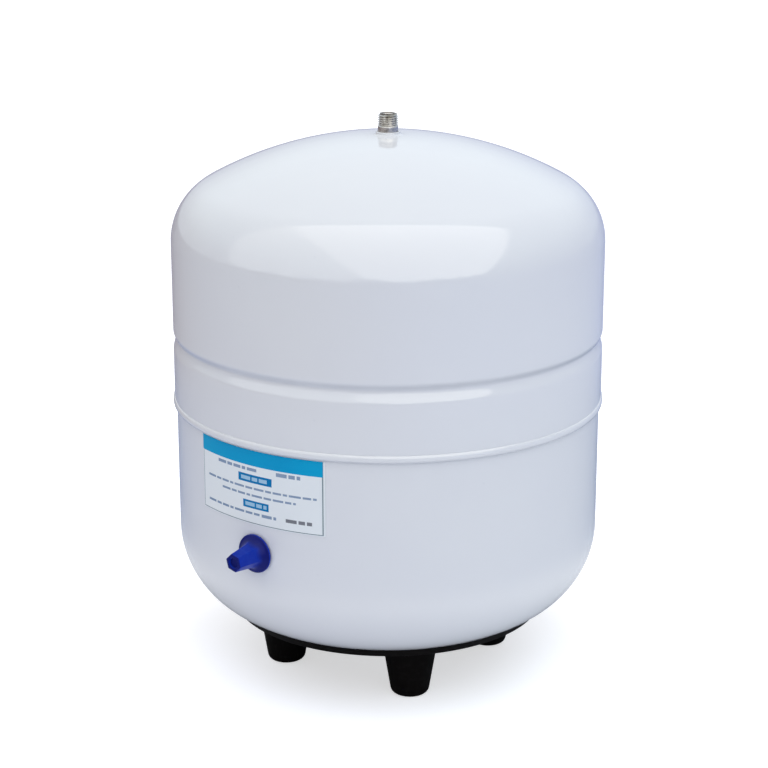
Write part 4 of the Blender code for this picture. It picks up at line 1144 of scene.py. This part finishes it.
studio = {
    "floorRadius": 9.0,
    "floorSide": (-0.9, 0.8),
    "floorFront": (-0.8, 0.4),
    "floorLeft": (0.68, 0.70, 0.78),
    "floorRight": (0.74, 0.77, 0.81),
    "floorBehind": (0.50, 0.50, 0.52),
    "footGloss": (0.5, 0.52, 0.56),
    "footReach": (0.18, 0.4),
    "nearGloss": ((0.25, 0.30, 0.46), (0.22, 0.28, 0.42)),
    "farGloss": ((0.26, 0.20, 0.20), (0.34, 0.40, 0.64)),
    "glossReach": (0.45, 0.95),
    "floorGlow": 0.36,
    "glowRing": (0.13, 0.22, 0.4, 0.9),
    "glowFall": 0.6,
    "floorWhiten": 0.6,
    "aim": (0.0, 9.75 * mm, 189.1 * mm),
    "distance": 1.445,
    "turn": math.radians(36.25),
    "rise": math.radians(16.7),
    "lens": 102.66,
    "shiftX": -0.0052,
    "skySide": (-0.9, 0.7),
    "skyFront": (-0.9, 0.5),
    "skyRise": (0.15, 0.9),
    "roomRise": (0.0, 0.5),
    "leftLow": (0.06, 0.05, 0.05),
    "rightLow": (0.08, 0.10, 0.18),
    "leftHigh": (1.38, 1.38, 1.36),
    "rightHigh": (1.59, 1.68, 1.80),
    "behindShade": 0.8,
    "leftRoom": (0.62, 0.62, 0.66),
    "rightRoom": (0.56, 0.64, 0.84),
    "ceiling": (0.98, 1.10, 1.18),
    "opening": (2.25, 2.30, 2.28),
    "lintel": (0.0, 1.0, 0.19),
    "lintelSoft": 0.03,
    "jamb": (-0.54, 0.63, 0.55),
    "jambSoft": 0.05,
    "slant": (-0.88, -0.12, -0.46),
    "slantSoft": 0.06,
    "slantShade": 0.45,
    "treeLine": (-0.03, 0.4),
    "treeSoft": 0.06,
    "treeClumps": (3.0, 3.0),
    "windowPlace": (0.75, 1.7, 1.75),
    "windowAim": (0.0, 0.0, 0.25),
    "windowSize": (1.3, 0.9),
    "windowPower": 3.0,
    "windowColour": (1.0, 1.0, 0.98),
}
cameraBack = Vector((math.sin(studio["turn"]), -math.cos(studio["turn"]), 0.0))
cameraRight = Vector((math.cos(studio["turn"]), math.sin(studio["turn"]), 0.0))


def fromCamera(right, near, up):
    # A direction or place given as camera's right, towards the camera, and up
    return cameraRight * right + cameraBack * near + Vector((0.0, 0.0, up))


def aim(made, place, target):
    made.location = place
    made.rotation_euler = (Vector(target) - Vector(place)).to_track_quat("-Z", "Y").to_euler()


def towards(tree, column, row, way, weights):
    # How far a direction goes along the weights
    return wired(tree, "ShaderNodeVectorMath", column, row, {0: way, 1: fromCamera(*weights)},
                 operation="DOT_PRODUCT")["Value"]


def spread(tree, column, row, way, weights, low, high):
    # How far a direction goes along the weights, as a smooth share between two ends
    return ramped(tree, column + 1, row, towards(tree, column, row, way, weights), low, high)


def makeFloor():
    # White to the camera and as a bounce, but a mid grey in the gloss of the paint
    made, tree, shader = newMaterial("studioFloor", 0.9, gloss=0.0)
    path = addNode(tree, "ShaderNodeLightPath", -9, 4).outputs
    place = addNode(tree, "ShaderNodeTexCoord", -12, 0).outputs["Object"]
    outwards = wired(tree, "ShaderNodeVectorMath", -11, 0, {0: place}, operation="NORMALIZE")[0]
    reach = wired(tree, "ShaderNodeVectorMath", -11, 2, {0: place}, operation="LENGTH")["Value"]
    side = spread(tree, -10, 0, outwards, (1.0, 0.0, 0.0), *studio["floorSide"])
    front = spread(tree, -10, 1, outwards, (0.0, 1.0, 0.0), *studio["floorFront"])
    far = ramped(tree, -9, 2, reach, *studio["glossReach"])
    away = ramped(tree, -9, 3, reach, *studio["footReach"])
    across = toneBetween(tree, -8, 0, side, studio["floorLeft"], studio["floorRight"])
    plain = toneBetween(tree, -7, 0, front, studio["floorBehind"], across)
    gloss = toneBetween(tree, -7, 1, far, toneBetween(tree, -8, 1, side, *studio["nearGloss"]),
                        toneBetween(tree, -8, 2, side, *studio["farGloss"]))
    gloss = toneBetween(tree, -6, 1, away, studio["footGloss"], gloss)
    plug(tree, shader["Base Color"], toneBetween(tree, -6, 0, path["Is Glossy Ray"], plain, gloss))

    inner = ramped(tree, -9, 5, reach, *studio["glowRing"][:2])
    fading = ramped(tree, -9, 6, reach, *studio["glowRing"][2:])
    outer = mathNode(tree, "MULTIPLY_ADD", -8, 6, fading, -studio["glowFall"], 1.0)
    ring = mathNode(tree, "MULTIPLY", -7, 6, inner, outer)
    glow = mathNode(tree, "MULTIPLY", -7, 5, ring, studio["floorGlow"])
    mirrored = mathNode(tree, "MULTIPLY", -8, 7, path["Is Glossy Ray"], away)
    dulled = mathNode(tree, "SUBTRACT", -6, 5, glow, mathNode(tree, "MULTIPLY", -7, 7, mirrored, glow))
    shader["Emission Color"].default_value = (1.0, 1.0, 1.0, 1.0)
    plug(tree, shader["Emission Strength"], mathNode(
        tree, "MULTIPLY_ADD", -5, 5, path["Is Camera Ray"], studio["floorWhiten"], dulled))
    disc = bmesh.new()
    bmesh.ops.create_circle(disc, cap_ends=True, segments=96, radius=studio["floorRadius"])
    mesh = bpy.data.meshes.new("studioFloor")
    disc.to_mesh(mesh)
    disc.free()
    mesh.materials.append(made)
    floor = newObject("studioFloor", mesh)


def makeSky():
    # Soft light for the paint's body, and for its gloss a dim room that opens on a bright sky in front,
    # under a straight lintel, beside a jamb and above an uneven line of trees
    world = bpy.data.worlds.new("studioSky")
    bpy.context.scene.world = world
    world.use_nodes = True
    tree = world.node_tree
    tree.nodes.clear()
    way = addNode(tree, "ShaderNodeTexCoord", 0, 0).outputs["Generated"]
    rise = towards(tree, 1, 0, way, (0.0, 0.0, 1.0))
    across = spread(tree, 1, 1, way, (1.0, 0.0, 0.0), *studio["skySide"])
    front = spread(tree, 1, -1, way, (0.0, 1.0, 0.0), *studio["skyFront"])
    low = toneBetween(tree, 3, 1, across, studio["leftLow"], studio["rightLow"])
    high = toneBetween(tree, 3, 2, across, studio["leftHigh"], studio["rightHigh"])
    even = toneBetween(tree, 4, 1, ramped(tree, 3, 0, rise, *studio["skyRise"]), low, high)
    shade = mathNode(tree, "MULTIPLY_ADD", 3, -1, front, 1.0 - studio["behindShade"], studio["behindShade"])
    soft = wired(tree, "ShaderNodeVectorMath", 5, 1, {0: even, "Scale": shade}, operation="SCALE")[0]

    roomSide = toneBetween(tree, 3, 3, across, studio["leftRoom"], studio["rightRoom"])
    room = toneBetween(tree, 4, 3, ramped(tree, 3, 2, rise, *studio["roomRise"]), roomSide, studio["ceiling"])
    lintel = spread(tree, 1, 4, way, studio["lintel"], 0.0, studio["lintelSoft"])
    jamb = spread(tree, 1, 5, way, studio["jamb"], 0.0, studio["jambSoft"])
    treeHeight, uneven = studio["treeLine"]
    clumps = noiseAt(tree, 2, 6, way, *studio["treeClumps"])
    crowns = mathNode(tree, "MULTIPLY_ADD", 3, 6, clumps, -uneven, 0.5 * uneven - treeHeight)
    trees = ramped(tree, 5, 6, mathNode(tree, "ADD", 4, 6, rise, crowns), 0.0, studio["treeSoft"])
    slope = spread(tree, 2, 7, way, studio["slant"], 0.0, studio["slantSoft"])
    slant = mathNode(tree, "MULTIPLY_ADD", 4, 7, slope, studio["slantShade"] - 1.0, 1.0)
    mask = mathNode(tree, "MULTIPLY", 7, 4, mathNode(tree, "MULTIPLY", 6, 4, lintel, jamb),
                    mathNode(tree, "MULTIPLY", 6, 5, trees, slant))
    glossy = toneBetween(tree, 8, 3, mask, room, studio["opening"])

    path = addNode(tree, "ShaderNodeLightPath", 9, -2).outputs
    body, mirrored, backdrop = (wired(tree, "ShaderNodeBackground", 9, row, {"Color": tone})[0]
                                for row, tone in ((1, soft), (3, glossy), (0, (1.0, 1.0, 1.0, 1.0))))
    lit = wired(tree, "ShaderNodeMixShader", 10, 1, {0: path["Is Glossy Ray"], 1: body, 2: mirrored})[0]
    shown = wired(tree, "ShaderNodeMixShader", 11, 0, {0: path["Is Camera Ray"], 1: lit, 2: backdrop})[0]
    wired(tree, "ShaderNodeOutputWorld", 12, 0, {"Surface": shown})


def makeWindow():
    light = bpy.data.lights.new("windowLight", "AREA")
    light.shape = "RECTANGLE"
    light.size, light.size_y = studio["windowSize"]
    light.energy = studio["windowPower"]
    light.color = studio["windowColour"]
    window = newObject("windowLight", light)
    window.visible_glossy = False
    aim(window, fromCamera(*studio["windowPlace"]), studio["windowAim"])


def makeCamera():
    lens = bpy.data.cameras.new("camera")
    lens.lens = studio["lens"]
    lens.sensor_width = 36.0
    lens.shift_x = studio["shiftX"]
    lens.clip_start = 0.05
    camera = newObject("camera", lens)
    back = fromCamera(0.0, math.cos(studio["rise"]), math.sin(studio["rise"]))
    aim(camera, Vector(studio["aim"]) + back * studio["distance"], studio["aim"])
    bpy.context.scene.camera = camera


makeFloor()
makeSky()
makeWindow()
makeCamera()
bpy.context.scene.view_settings.view_transform = "Standard"
print("studio ready")
